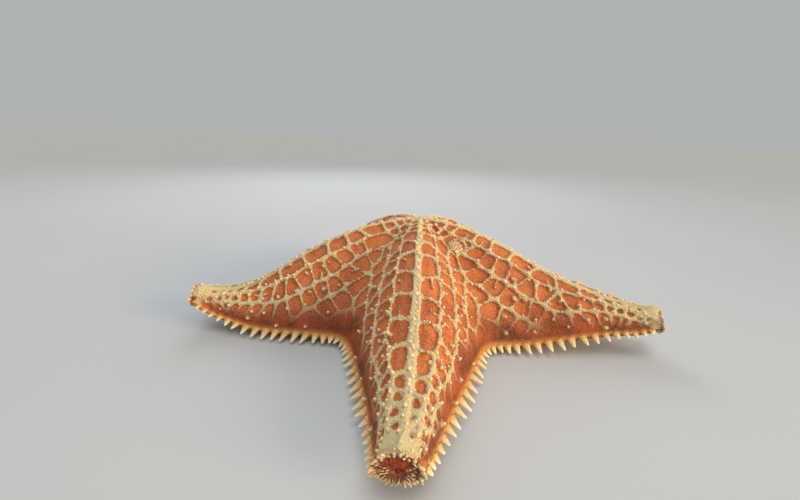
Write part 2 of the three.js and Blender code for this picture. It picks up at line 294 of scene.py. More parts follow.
def top_height(x, swell):
    """Height of an arm's shoulders at x: level on the crown, a straight fall with both corners
    softened, and a small rise at the end."""
    down = (x - RIDGE_TOP_X) / (RIDGE_FOOT_X - RIDGE_TOP_X)
    soft = [RIDGE_ROUNDING * np.log1p(np.exp(v / RIDGE_ROUNDING)) for v in (down, down - 1)]
    z = mix(DISC_HEIGHT, TIP_RIDGE_HEIGHT, soft[0] - soft[1])
    z = z + swell * np.sin(np.pi * x / RIDGE_END_X) ** 2
    return z + TIP_RISE * smoothstep(*TIP_RISE_SPAN, x)


def furrow_upturn(x):
    """How far the furrow's end has turned up at x."""
    return END_UPTURN * smoothstep(END_X - END_UPTURN_RUN, END_X, x)


def half_arm_lines(share, swell):
    """The lines that a half arm hangs on: margin, shoulder tops, ridge crest, furrow edge and
    furrow roof. The tops run along x as a power of the share, and the crest comes down later."""
    run = np.minimum(1, share / MARGIN_SHARE)
    beta = np.clip((share - MARGIN_SHARE) / (1 - MARGIN_SHARE), 0, 1) * np.pi / 2
    edge = np.where((beta > 0)[:, None], end_face_point(beta, 1.0), margin_point(run))
    x = RIDGE_END_X * share ** RIDGE_CROWDING
    top = np.stack([x, 0 * x, top_height(x, swell)], -1)
    late = x - CREST_SHIFT * smoothstep(CREST_FROM, CREST_FULL, x)
    crest = np.stack([x, 0 * x, top_height(late, swell)], -1)
    spread = run ** GROOVE_CROWDING
    end_top = end_face_point(beta, END_TOP_SHARE)
    furrow_x = mix(GROOVE_HALF_WIDTH / np.tan(HALF_SECTOR), END_X + END_LIP, spread)
    under = furrow_upturn(furrow_x)
    groove = np.stack([
        mix(furrow_x, end_top[:, 0], np.sin(beta)),
        GROOVE_HALF_WIDTH * np.cos(beta),
        mix(under + UNDER_CLEARANCE, end_top[:, 2], np.sin(beta)),
    ], -1)
    roof_z = GROOVE_DEPTH + 0.5 * under + np.sin(beta)
    roof = np.stack([mix(0, END_X - END_RECESS, spread), 0 * spread, roof_z], -1)
    return {"edge": edge, "top": top, "crest": crest, "groove": groove, "roof": roof}


def flank_sheet(lines, phi):
    """Side of an arm, from the margin (phi 0) to the ridge (a right angle). With c = cos(phi)
    it goes inwards as 1 - c ((c^2 + b^2) / (1 + b^2))^((fullness - 1) / 2), which is round at
    the ridge for a broadness b, and upwards as sin(phi)^rise, to the height of the shoulders,
    and over its last fifth to the height of the crest."""
    c = np.clip(np.cos(phi), 0, 1)
    softened = (c * c + RIDGE_BROADNESS ** 2) / (1 + RIDGE_BROADNESS ** 2)
    inward = 1 - c * softened ** ((FLANK_FULLNESS - 1) / 2)
    upward = np.sin(phi) ** FLANK_RISE
    crested = smoothstep(CREST_SHARE, 1.0, phi / (np.pi / 2))[None, :, None]
    summit = mix(lines["top"][:, None, :], lines["crest"][:, None, :], crested)
    blend = np.stack([inward, inward, upward], -1)
    return mix(lines["edge"][:, None, :], summit, blend[None])


def under_sheet(lines):
    """Underside of half an arm: a quarter ellipse round the edge, a flat sole, and an arch
    up to the furrow's roof."""
    edge, groove, roof = lines["edge"], lines["groove"], lines["roof"]
    span = np.linalg.norm((groove - edge)[:, :2], axis=1)[:, None]
    rounding = np.minimum(EDGE_ROUNDING, 0.7 * span)
    rounded, flat, wall = (np.arange(1, n + 1) / n for n in UNDER_STEPS)
    turn = (1 - np.cos(rounded * np.pi / 2))[None]
    inset = np.concatenate([rounding * turn, mix(rounding, span, flat[None])], 1)
    rise = 1 - np.sqrt(np.clip(1 - (1 - np.clip(inset / rounding, 0, 1)) ** 2, 0, 1))
    across = inset / span
    plan = [mix(edge[:, None, i], groove[:, None, i], across) for i in (0, 1)]
    sole = np.stack(plan + [mix(groove[:, None, 2], edge[:, None, 2], rise)], -1)
    arch = np.stack([
        mix(groove[:, None, 0], roof[:, None, 0], 1 - np.cos(wall * np.pi / 2)[None]),
        groove[:, None, 1] * np.cos(wall * np.pi / 2)[None],
        mix(groove[:, None, 2], roof[:, None, 2], np.sin(wall * np.pi / 2)[None]),
    ], -1)
    return np.concatenate([sole, arch], 1)


def place_on_arm(points, arm):
    """Moves points of a straight arm on +X to their place: the free part is stretched and
    bent along a circle, the tip is lifted by a smooth step, and all is turned by the azimuth."""
    x, y, z = np.moveaxis(np.asarray(points, float), -1, 0)
    along = np.maximum(0, x - FREE_FROM) * arm["stretch"]
    curl = np.radians(arm["bend"]) / (ARM_REACH - FREE_FROM)
    turn = curl * along
    out = np.minimum(x, FREE_FROM) + np.sin(turn) / curl - y * np.sin(turn)
    side = (1 - np.cos(turn)) / curl + y * np.cos(turn)
    up = z + arm["lift"] * smoothstep(*arm["between"], x)
    c, s = np.cos(np.radians(arm["azimuth"])), np.sin(np.radians(arm["azimuth"]))
    return np.stack([out * c - side * s, out * s + side * c, up], -1)


def on_arm(root, way, arm):
    """Root and direction of what grows on an arm, from those on the straight arm."""
    placed = place_on_arm(root, arm)
    return placed, place_on_arm(root + way, arm) - placed


def half_arms():
    """Every arm with each of its sides, 1 and -1."""
    return [(arm, side) for arm in ARMS.values() for side in (1, -1)]


def join(rows):
    """One long array for each column of the rows."""
    return [np.concatenate(column) for column in zip(*rows)]


def unit(ways):
    """The same directions at length 1."""
    return ways / np.linalg.norm(ways, axis=-1, keepdims=True)


def grid_triangles(rows, columns, flip=False):
    """Two triangles for each cell of a rows by columns grid of points."""
    index = np.arange(rows * columns).reshape(rows, columns)
    a, b, c, d = index[:-1, :-1], index[1:, :-1], index[1:, 1:], index[:-1, 1:]
    order = [(a, d, b), (b, d, c)] if flip else [(a, b, d), (b, c, d)]
    return np.concatenate([np.stack(t, -1).reshape(-1, 3) for t in order])


def weld(points, triangles, fields):
    """Merges points that share a place, to a thousandth of a millimetre, with their fields."""
    keys = np.round(points, 3) + 0.0
    _, first, back = np.unique(keys, axis=0, return_index=True, return_inverse=True)
    triangles = back.reshape(-1)[triangles]
    a, b, c = triangles.T
    triangles = triangles[(a != b) & (b != c) & (c != a)]
    return points[first], triangles, {name: field[first] for name, field in fields.items()}


def point_normals(points, triangles):
    """Mean direction of the triangles round each point, weighted by their area."""
    corners = points[triangles]
    flat = np.cross(corners[:, 1] - corners[:, 0], corners[:, 2] - corners[:, 0])
    normals = np.zeros_like(points)
    for corner in triangles.T:
        np.add.at(normals, corner, flat)
    return normals / np.maximum(np.linalg.norm(normals, axis=1), 1e-12)[:, None]


def bare_body():
    """The whole body without relief: ten half arms, mirrored, placed and welded. Its fields
    are the distance out along the arm, the place between margin (0) and ridge (1), or on the
    underside between margin (0) and furrow roof (-1), the distance from the arm's middle
    plane, and 1 on the hollow face of the arm's end."""
    on_margin = np.linspace(0, MARGIN_SHARE, MARGIN_STEPS + 1)
    share = np.concatenate([on_margin, np.linspace(MARGIN_SHARE, 1, END_STEPS + 1)[1:]])
    phi = np.linspace(np.pi / 2, 0, FLANK_STEPS + 1)
    halves = []
    for arm, side in half_arms():
        lines = half_arm_lines(share, arm["swell"])
        lower = under_sheet(lines)
        half = np.concatenate([flank_sheet(lines, phi), lower], 1)
        rows, columns = half.shape[:2]
        under = -np.arange(1, lower.shape[1] + 1) / lower.shape[1]
        heights = np.concatenate([phi / (np.pi / 2), under])
        on_end = smoothstep(MARGIN_SHARE - 0.02, MARGIN_SHARE + 0.01, share)[:, None]
        hollow = on_end * smoothstep(0.05, -0.12, heights)[None]
        halves.append((
            place_on_arm(half * [1, side, 1], arm).reshape(-1, 3),
            grid_triangles(rows, columns, flip=side < 0) + len(halves) * rows * columns,
            half[..., 0].reshape(-1),
            np.tile(heights, rows),
            half[..., 1].reshape(-1),
            hollow.reshape(-1),
        ))
    points, triangles, *values = join(halves)
    return weld(points, triangles, dict(zip(("out", "level", "across", "face"), values)))


def cross_section(x, upper):
    """Half cross-section of a straight arm at x, from the ridge outwards, with the distance
    walked along it."""
    crossed = upper[(upper[:, 0, 0] <= x) & (upper[:, -1, 0] >= x)]
    y = np.array([np.interp(x, line[:, 0], line[:, 1]) for line in crossed])
    z = np.array([np.interp(x, line[:, 0], line[:, 2]) for line in crossed])
    order = np.argsort(y)
    y, z = np.concatenate([[0.0], y[order]]), np.concatenate([[z[order][0]], z[order]])
    walk = np.concatenate([[0.0], np.cumsum(np.hypot(np.diff(y), np.diff(z)))])
    return y, z, walk


# Sunken skin patches: one seed point each. They lie in rows along both sides of each ridge,
# large on the arms' shoulders and small towards the tips and the crown.
ROW_COUNT = 5
CROWN_RINGS = (                    # radius, patches, first azimuth offset
    (4.2, 5, 36.0),
    (9.6, 10, 18.0),
    (15.2, 15, 12.0),
    (21.0, 20, 9.0),
)
FIRST_PATCH_X = 27.0
ROW_WIDTH, TIP_NARROWING, CROWN_NARROWING = 11.8, 7.0, 3.2
RIDGE_PATCH_LENGTH, FLANK_PATCH_LENGTH = 13.5, 8.2
CROWN_PATCH_LENGTH, TIP_PATCH_LENGTH = 7.0, 5.0
PATCH_JITTER = 0.19                # share of its length that a seed may stray
TIP_JITTER = 1.7                   # times as much near the tips
CROWN_JITTER = (1.4, 1.2)          # round a ring and across it


def near_tip(x):
    """0 on the arm and 1 where it narrows to its end."""
    return smoothstep(98, 116, x)


def row_width(x):
    """Width of a row of patches, shrinking towards the tip and towards the crown."""
    at_tip, at_crown = smoothstep(80, 124, x), 1 - smoothstep(22, 56, x)
    return ROW_WIDTH - TIP_NARROWING * at_tip - CROWN_NARROWING * at_crown


def patch_length(x, row):
    """Length of a patch along its row. Those beside the ridge are the longest."""
    longest = RIDGE_PATCH_LENGTH if row == 0 else FLANK_PATCH_LENGTH
    start = longest - (longest - CROWN_PATCH_LENGTH) * (1 - smoothstep(24, 48, x))
    return mix(start, TIP_PATCH_LENGTH, smoothstep(88, 120, x))


def patch_seeds():
    """Seed points of the patches with their arm, side, row and distance out, and the way that
    each arm runs there."""
    draw = np.random.default_rng(7)
    share = np.linspace(0, 1, 140)
    phi = np.linspace(np.pi / 2, 0, 90)
    seeds = []
    for number, (arm, side) in enumerate(half_arms()):
        upper = flank_sheet(half_arm_lines(share, arm["swell"]), phi)
        for row in range(ROW_COUNT):
            x = FIRST_PATCH_X + patch_length(FIRST_PATCH_X, row) * draw.uniform(0.2, 0.9)
            while x < END_X - 4:
                length, width = patch_length(x, row), row_width(x)
                shake = PATCH_JITTER * mix(1, TIP_JITTER, near_tip(x))
                here = x + length * shake * draw.uniform(-1, 1)
                y, z, walk = cross_section(min(here, END_X - 3), upper)
                reach = 0.7 * band_half_width(here)
                reach += width * (row + 0.5 + 0.6 * shake * draw.uniform(-1, 1))
                if reach < walk[-1] - 0.25 * width:
                    spot = [here, side * np.interp(reach, walk, y), np.interp(reach, walk, z)]
                    fall = top_height(here + 1, 0) - top_height(here, 0)
                    placed, way = on_arm(np.array(spot), [1, 0, fall], arm)
                    tag = (number // 2, side, row, here)
                    seeds.append((placed, tag, way / np.linalg.norm(way)))
                x += length
    for radius, count, first in CROWN_RINGS:
        for azimuth in np.radians(first - 90 + np.arange(count) * 360 / count):
            azimuth = azimuth + CROWN_JITTER[0] * draw.uniform(-1, 1) / radius
            wobble = radius + CROWN_JITTER[1] * draw.uniform(-1, 1)
            spot = [wobble * np.cos(azimuth), wobble * np.sin(azimuth), DISC_HEIGHT]
            seeds.append((spot, (-1, 0, 9, radius), [0, 0, 0]))
    return [np.array(column) for column in zip(*seeds)]


def pair_chance(i, j):
    """Number from 0 to 1 that is the same for i with j as for j with i."""
    wave = np.sin((i + j) * 12.9898 + (i * j) * 0.3183 + np.abs(i - j) * 4.137) * 43758.5453
    return wave - np.floor(wave)


def band_half_width(x):
    """Half the width of the cream band on a ridge, slowly widening towards the tip."""
    return mix(1.25, 2.1, smoothstep(20, 98, x))


RIDGE_HALF_WIDTH = 0.3             # line along a ridge, under its band
ROW_HALF_WIDTH = 0.42              # lines between rows
STRUT_HALF_WIDTH = 0.44            # bars across a row
RIDGE_STRUT_MORE = 0.26            # more for those that spring from the ridge
MISSING_STRUTS = 0.08              # share of the bars that are left out
NODE_SWELLING = 0.50               # how much the lines thicken where they meet
STAR_SWELLING, STAR_REACH = 0.80, 1.6      # and the plate that some junctions carry as well
CROWN_THINNING = 0.10              # the lines are thinner on the crown
BAND_BLEND = 0.75                  # rounding where bars meet the band on a ridge
STUB_BLEND = 0.4                   # and where the short bars meet the lines
TIP_THICKENING = 0.40              # extra half width of every line near the tips
STUB_CHANCE = 0.34                 # share of patches with a thin bar that ends inside them
STUB_HALF_WIDTH = 0.34
ROW_STRAIGHTNESS = 0.60            # 0 lets the rows wander, towards 1 they run straight


def soft_minimum(first, second, blend):
    """The smaller of two distances, rounded off where they are alike."""
    return -blend * np.log(np.exp(-first / blend) + np.exp(-second / blend))


def nearest_index(spots, points):
    """Index of the point closest to each spot."""
    found = np.empty(len(spots), int)
    for part in np.array_split(np.arange(len(spots)), max(1, len(spots) // 24)):
        found[part] = ((points[None] - spots[part, None]) ** 2).sum(-1).argmin(1)
    return found


def stub_bars(points, seeds, tags):
    """Ends of the thin bars. Each starts midway between a seed and one of its five nearest
    neighbours and runs part of the way to the seed."""
    draw = np.random.default_rng(12)
    apart = ((seeds[:, None] - seeds[None]) ** 2).sum(-1)
    neighbour = np.argsort(apart, 1)[np.arange(len(seeds)), draw.integers(1, 6, len(seeds))]
    wall = mix(seeds, seeds[neighbour], 0.5)
    end = mix(wall, seeds, draw.uniform(0.45, 0.95, (len(seeds), 1)))
    chosen = (draw.random(len(seeds)) < STUB_CHANCE) & (tags[:, 2] < 4) & (tags[:, 3] < 106)
    return points[nearest_index(wall[chosen], points)], points[nearest_index(end[chosen], points)]


def distance_to_bars(points, starts, ends, reach):
    """Distance to the nearest bar, growing a little along each bar so that it tapers."""
    nearest = np.full(len(points), float(reach))
    for start, end in zip(starts, ends):
        way = end - start
        around = np.linalg.norm(way) / 2 + reach
        close = np.flatnonzero((np.abs(points - (start + end) / 2) < around).all(1))
        share = np.clip((points[close] - start) @ way / (way @ way + 1e-9), 0, 1)
        away = np.linalg.norm(points[close] - start - share[:, None] * way, axis=1)
        nearest[close] = np.minimum(nearest[close], away + 0.16 * share)
    return nearest


def network_distance(points, seeds, tags, ways, fields):
    """Distance to the nearest raised line, below 0 on it. The lines run midway between
    neighbouring seeds, where lengths along the arm count for less than lengths across it, so
    that rows run straight. Lines that meet are joined by a smooth minimum. Also returns the
    nearest seed and the distance to the third line, which is small only at a junction."""
    distance, junction = np.zeros(len(points)), np.zeros(len(points))
    nearest = np.zeros(len(points), int)
    arm, side, row = tags[:, 0], tags[:, 1], tags[:, 2]
    out, level = fields["out"], fields["level"]
    for part in np.array_split(np.arange(len(points)), 40):
        squares = ((points[part, None, :] - seeds[None]) ** 2).sum(-1)
        close = np.argpartition(squares, 8, axis=1)[:, :8]
        gone = points[part, None, :] - seeds[close]
        lengthwise = (gone * ways[close]).sum(-1, keepdims=True)
        pull = gone - ROW_STRAIGHTNESS * lengthwise * ways[close]
        size = (gone * pull).sum(-1)
        order = np.argsort(size, 1)[:, :6]
        ranked = np.take_along_axis(close, order, 1)
        size = np.take_along_axis(size, order, 1)
        pull = np.take_along_axis(pull, order[..., None], 1)
        i, j = ranked[:, :1], ranked[:, 1:]
        spread = 2 * np.linalg.norm(pull[:, 1:] - pull[:, :1], axis=-1)
        to_line = (size[:, 1:] - size[:, :1]) / np.maximum(spread, 1.0)
        same_arm = arm[i] == arm[j]
        on_ridge = same_arm & (side[i] != side[j]) & (row[i] == 0) & (row[j] == 0)
        across = same_arm & (side[i] == side[j]) & (row[i] == row[j])
        chance = pair_chance(i, j)
        strut = STRUT_HALF_WIDTH * mix(0.65, 1.35, chance) + RIDGE_STRUT_MORE * (row[i] == 0)
        strut = np.where(chance < MISSING_STRUTS, -0.35, strut)
        width = np.where(across, strut, ROW_HALF_WIDTH * mix(0.8, 1.2, chance))
        away = out[part][:, None]
        width = np.where(on_ridge, RIDGE_HALF_WIDTH, width)
        near_ridge = smoothstep(0.30, 0.62, level[part])[:, None]
        width = width + TIP_THICKENING * near_tip(away) * near_ridge
        width = width - CROWN_THINNING * (1 - smoothstep(20, 34, away))
        edge = to_line - width
        distance[part] = -NODE_SWELLING * np.log(np.exp(-edge / NODE_SWELLING).sum(1))
        star = mix(0.35, 1.0, pair_chance(ranked[:, 0] + ranked[:, 1] + ranked[:, 2], 5))
        distance[part] -= STAR_SWELLING * star * np.exp(-(to_line[:, 1] / STAR_REACH) ** 2)
        nearest[part] = ranked[:, 0]
        junction[part] = to_line[:, 1]
    crown, tip = smoothstep(8, 24, out), smoothstep(104, 116, out)
    band = band_half_width(out) * mix(0.8, 1, crown) * mix(1, 0.7, tip)
    to_band = fields["across"] - band - 0.22 * np.sin(out * 0.42)
    to_band = np.where(level < 0.3, 50.0, to_band)
    return soft_minimum(distance, to_band, BAND_BLEND), nearest, junction


def waves(points, wavelength, seed):
    """Smooth unevenness from -1 to 1: the mean of twelve sine waves in seeded directions."""
    draw = np.random.default_rng(seed)
    ways = unit(draw.normal(size=(12, 3)))
    phase = points @ (ways.T * 2 * np.pi / wavelength) + draw.uniform(0, 2 * np.pi, 12)
    return np.sin(phase).mean(1) * 2


def relax(points, triangles, weight, rounds):
    """Draws each point towards the mean of its neighbours by its own weight, several times."""
    a, b, c = triangles.T
    one = np.concatenate([a, b, c, b, c, a])
    other = np.concatenate([b, c, a, a, b, c])
    count = np.bincount(one, minlength=len(points))[:, None]
    for _ in range(rounds):
        total = np.stack([np.bincount(one, points[other, i], len(points)) for i in range(3)], -1)
        points = mix(points, total / count, weight[:, None])
    return points


SPINE_SPACING = 6.4                # along the margin, closer in the web and at the tip
SPINE_DROP = 0.65                  # fall of an edge spine for each unit that it stands out
SPINE_LEAN = 0.3                   # and how far it leans towards the arm's end


def spine_walk():
    """Where the edge spines stand along the margin, with their growth from 0 to 1."""
    places, growths = [], []
    along = SPINE_SPACING * 0.31
    while along < MARGIN_LENGTH - 1.5:
        run = along / MARGIN_LENGTH
        from_web = float(smoothstep(0, 0.25, run))
        from_tip = 1 - float(smoothstep(0.5, 0.95, run))
        places.append(run)
        growths.append(mix(0.6, 1, from_web) * mix(0.42, 1, from_tip))
        along += SPINE_SPACING * mix(0.65, 1, from_web) * mix(0.65, 1, from_tip)
    return np.array(places), np.array(growths)


def edge_spine_roots():
    """Root, direction and growth of every edge spine. They point out from the margin and
    downwards, and lean towards the tip, less so near the web."""
    run, growth = spine_walk()
    root = margin_point(run)
    tangent = margin_point(np.minimum(1, run + 0.001)) - margin_point(run - 0.001)
    lean = SPINE_LEAN * smoothstep(0, 0.25, run)
    spines = []
    for arm, side in half_arms():
        out = unit(np.stack([-tangent[:, 1], tangent[:, 0] * side, 0 * run], -1))
        out = unit(out + np.stack([lean, 0 * run, 0 * run - SPINE_DROP], -1))
        foot = root * [1, side, 1] - [0, 0, 0.5]
        spines.append((*on_arm(foot, out, arm), growth))
    return join(spines)


spine_roots, spine_ways, spine_growth = edge_spine_roots()


def distance_to(points, targets, reach):
    """Distance from each point to the nearest target, cut off at reach."""
    nearest = np.full(len(points), float(reach))
    for target in targets:
        close = np.flatnonzero(np.abs(points[:, 0] - target[0]) < reach)
        away = np.linalg.norm(points[close] - target, axis=1)
        nearest[close] = np.minimum(nearest[close], away)
    return nearest


FLANK_ROWS = (                     # place on the flank, spacing, length, radius, first distance out
    (0.14, 17.0, 1.1, 0.70, 60.0),
    (0.26, 11.0, 1.4, 0.78, 58.0),
    (0.38, 8.4, 1.5, 0.82, 52.0),
    (0.51, 10.0, 1.4, 0.78, 60.0),
)
CONE_SCATTER = 2.6                 # up or down from the row
CONE_PLATE_RADIUS = 1.05           # cream plate under each cone


def points_along(line, measure, wanted):
    """Points of a line where a measure that grows along it has the wanted values."""
    return np.stack([np.interp(wanted, measure, line[:, i]) for i in range(3)], -1)


def flank_cone_places():
    """Points in rows along every flank, with their sizes: each row keeps its place between
    margin and ridge, and its steps and sizes vary a little."""
    draw = np.random.default_rng(31)
    share = np.linspace(0, MARGIN_SHARE, 400)
    cones = []
    for arm, side in half_arms():
        lines = half_arm_lines(share, arm["swell"])
        for level, spacing, length, radius, first in FLANK_ROWS:
            wanted = first + spacing * draw.uniform(0, 1)
            line = flank_sheet(lines, np.array([level * np.pi / 2]))[:, 0]
            while wanted < END_X - 3:
                spot = points_along(line, line[:, 0], wanted) * [1, side, 1]
                spot[2] += CONE_SCATTER * draw.uniform(-1, 1)
                tip = float(smoothstep(150, 100, wanted))
                grown = draw.uniform(0.5, 1.3) * mix(0.6, 1, tip)
                size = (length * grown, radius * mix(1, grown, 0.6))
                cones.append((place_on_arm(spot, arm), size))
                wanted += spacing * mix(0.72, 1, tip) * draw.uniform(0.65, 1.35)
    return [np.array(column) for column in zip(*cones)]


flank_spots, flank_sizes = flank_cone_places()

SIEVE_RADIUS = 4.6
SIEVE_HEIGHT = 1.6
SIEVE_SHARE = 0.1                  # of the margin's length, on the right arm's side to the front
SIEVE_PHI = np.radians(60)


def sieve_plate_place():
    """Middle of the sieve plate and the direction square to the flank there."""
    lines = half_arm_lines(np.array([SIEVE_SHARE * MARGIN_SHARE]), 0.0)
    spot, above = flank_sheet(lines, np.array([SIEVE_PHI, SIEVE_PHI + 0.02]))[0] * [1, -1, 1]
    across = np.array([np.sin(HALF_SECTOR), np.cos(HALF_SECTOR), 0])
    outward = np.cross(across, above - spot)
    return on_arm(spot, outward / np.linalg.norm(outward), ARMS["right"])


sieve_middle, sieve_outward = sieve_plate_place()

PLATE_SWELL = 0.55                 # swelling of the edge plate round each spine's root
CREST = 0.55                       # the lines stand this far above the solids' surface
SUNKEN = 1.05                      # and the patches lie this far below it
FLANK_SUNKEN = 0.35                # the bare flanks lie this far below it
LINE_SIDES = (-0.7, 1.25)          # a line falls off between these distances
LINE_WOBBLE = 0.20                 # unevenness of a line's edges
UNEVENNESS = 0.12                  # and of the whole upper side
SIEVE_RIM = (0.4, 0.55)            # middle and half width of the line round the sieve plate
CREAM_RIM = (134, 139)             # cream covers the arm's end from here, low on the flanks
CREAM_CAP = (132, 138)             # and from here, near the ridge
CREAM_COVER = 2.5                  # how far it widens the lines there
LOW_NETWORK = (116, 140)           # between these distances the network reaches further down
BARE_BELOW = (0.13, 0.36)          # the network fades out between these places on the flank


def make_piece(name, finish, points, faces, fields):
    """Mesh object with one material, from points in millimetres, a block of faces or several
    blocks with equal corner counts in each, and values for each point."""
    blocks = faces if isinstance(faces, tuple) else (faces,)
    mesh = bpy.data.meshes.new(name)
    mesh.vertices.add(len(points))
    mesh.vertices.foreach_set("co", ((points + DISC_CENTRE) * MM).astype(np.float32).ravel())
    corners = np.concatenate([block.ravel() for block in blocks]).astype(np.int32)
    sizes = np.concatenate([np.full(len(block), block.shape[1]) for block in blocks])
    mesh.loops.add(len(corners))
    mesh.loops.foreach_set("vertex_index", corners)
    mesh.polygons.add(len(sizes))
    mesh.polygons.foreach_set("loop_start", (np.cumsum(sizes) - sizes).astype(np.int32))
    mesh.polygons.foreach_set("use_smooth", np.ones(len(sizes), bool))
    mesh.update(calc_edges=True)
    for key, values in fields.items():
        layer = mesh.attributes.new(key, "FLOAT", "POINT")
        layer.data.foreach_set("value", np.asarray(values, np.float32))
    mesh.materials.append(finish)
    piece = bpy.data.objects.new(name, mesh)
    bpy.context.scene.collection.objects.link(piece)
    return piece


def grow_skin():
    """Body with its relief. Each point moves along its normal: up to CREST on a line and
    down to SUNKEN in a patch, less on the lower flanks and not at all underneath."""
    points, triangles, fields = bare_body()
    out, level = fields["out"], fields["level"]
    points = relax(points, triangles, 0.6 * smoothstep(0.84, 0.94, level), 8)
    normals = point_normals(points, triangles)
    upper = smoothstep(-0.02, 0.06, level)
    # The network, with its short bars, the cream of the arm ends and the sieve plate's rim.
    seeds, tags, ways = patch_seeds()
    line, nearest, junction = network_distance(points, seeds, tags, ways, fields)
    stubs = distance_to_bars(points, *stub_bars(points, seeds, tags), 3.0) - STUB_HALF_WIDTH
    line = np.where(level > 0.3, soft_minimum(line, stubs, STUB_BLEND), line)
    line = line + LINE_WOBBLE * waves(points, 6.0, 3)
    rim = smoothstep(*CREAM_RIM, out) * smoothstep(0.0, 0.08, level)
    cap = smoothstep(*CREAM_CAP, out) * smoothstep(0.35, 0.5, level)
    line = line - CREAM_COVER * np.maximum(rim, cap)
    to_sieve = np.linalg.norm(points - sieve_middle, axis=1) - SIEVE_RADIUS
    line = np.minimum(line, np.abs(to_sieve - SIEVE_RIM[0]) - SIEVE_RIM[1])
    # How far the network shows: not on the lower flanks, but on the plate under each cone.
    shown = smoothstep(*BARE_BELOW, level + 0.06 * waves(points, 22.0, 5))
    shown = np.maximum(shown, smoothstep(*LOW_NETWORK, out) * smoothstep(0.1, 0.4, level))
    shown = np.maximum(shown, 0.8 * rim)
    plate_radius = CONE_PLATE_RADIUS * (1 + 0.4 * waves(points, 5.0, 4))
    to_cone = distance_to(points, flank_spots, 4.0) - plate_radius
    line = np.where(to_cone < line, to_cone, line)
    shown = np.maximum(shown, smoothstep(0.5, -0.3, to_cone) * 0.85)
    rise = mix(CREST, -SUNKEN, smoothstep(*LINE_SIDES, line))
    rise = mix(-FLANK_SUNKEN, rise, shown)
    rise = mix(0.0, rise, upper) + UNEVENNESS * waves(points, 4.0, 8) * upper
    plate = 1 - smoothstep(0.8, 3.2, distance_to(points, spine_roots, 3.5))
    rise = rise + PLATE_SWELL * plate
    tone = pair_chance(nearest, nearest + 3)
    fields.update(plate=plate, line=line, shown=shown, junction=junction, tone=tone)
    return points, points + normals * rise[:, None], triangles, normals, fields


body_points, skin_points, skin_triangles, skin_normals, skin_fields = grow_skin()


def srgb(red, green, blue):
    """Linear colour from screen values 0 to 255."""
    c = np.array([red, green, blue]) / 255
    linear = np.where(c <= 0.04045, c / 12.92, ((c + 0.055) / 1.055) ** 2.4)
    return tuple(float(v) for v in linear) + (1.0,)


CREAM = srgb(214, 206, 172)
CREAM_GREEN = srgb(189, 189, 151)
ORANGE = srgb(204, 115, 60)
ORANGE_PALE = srgb(226, 160, 108)
ORANGE_DEEP = srgb(160, 76, 40)
# Red-brown of the lower flanks: their own colour, made darker to stand for shade, so partly painted
# shade.
RED_BROWN = srgb(84, 44, 31)
SOLE_TAN = srgb(214, 176, 124)
EDGE_YELLOW = srgb(222, 160, 84)
FACE_RED = srgb(156, 70, 40)
CREAM_SHADE = srgb(206, 182, 132)  # between the grains
SOLE_SHADE = srgb(176, 118, 66)
SOLE_SEAM = srgb(140, 84, 46)      # between the plates
GRAIN_SCALE = 1050.0               # skin grains to a metre
SOLE_PLATE_SCALE = 270.0           # plates of the sole to a metre
BLOTCH_SCALE = 70.0
RAGGED_SCALE = 620.0               # for the uneven edges of the lines
SKIN_BLEED = (1.0, 0.35, 0.15)     # how far red, green and blue light go under skin


def calculate(tree, operation, *values):
    """Socket of a Math node."""
    return put(tree, "ShaderNodeMath", dict(enumerate(values)), operation=operation).outputs[0]


def field(tree, name):
    """Socket of a value that each point of the mesh carries."""
    return put(tree, "ShaderNodeAttribute", attribute_name=name).outputs["Fac"]


def emboss(tree, shader, height, depth, strength, **more):
    """Fine relief from a height socket, depth metres deep."""
    inputs = {"Height": height, "Distance": depth, "Strength": strength, **more}
    relief = put(tree, "ShaderNodeBump", inputs).outputs["Normal"]
    tree.links.new(relief, shader.inputs["Normal"])
    return relief


def let_light_in(shader, share, bleed, reach):
    """Light that spreads under the surface: its share, how far its red, green and blue go
    against each other, and the longest way in metres."""
    shader.inputs["Subsurface Weight"].default_value = share
    shader.inputs["Subsurface Radius"].default_value = bleed
    shader.inputs["Subsurface Scale"].default_value = reach


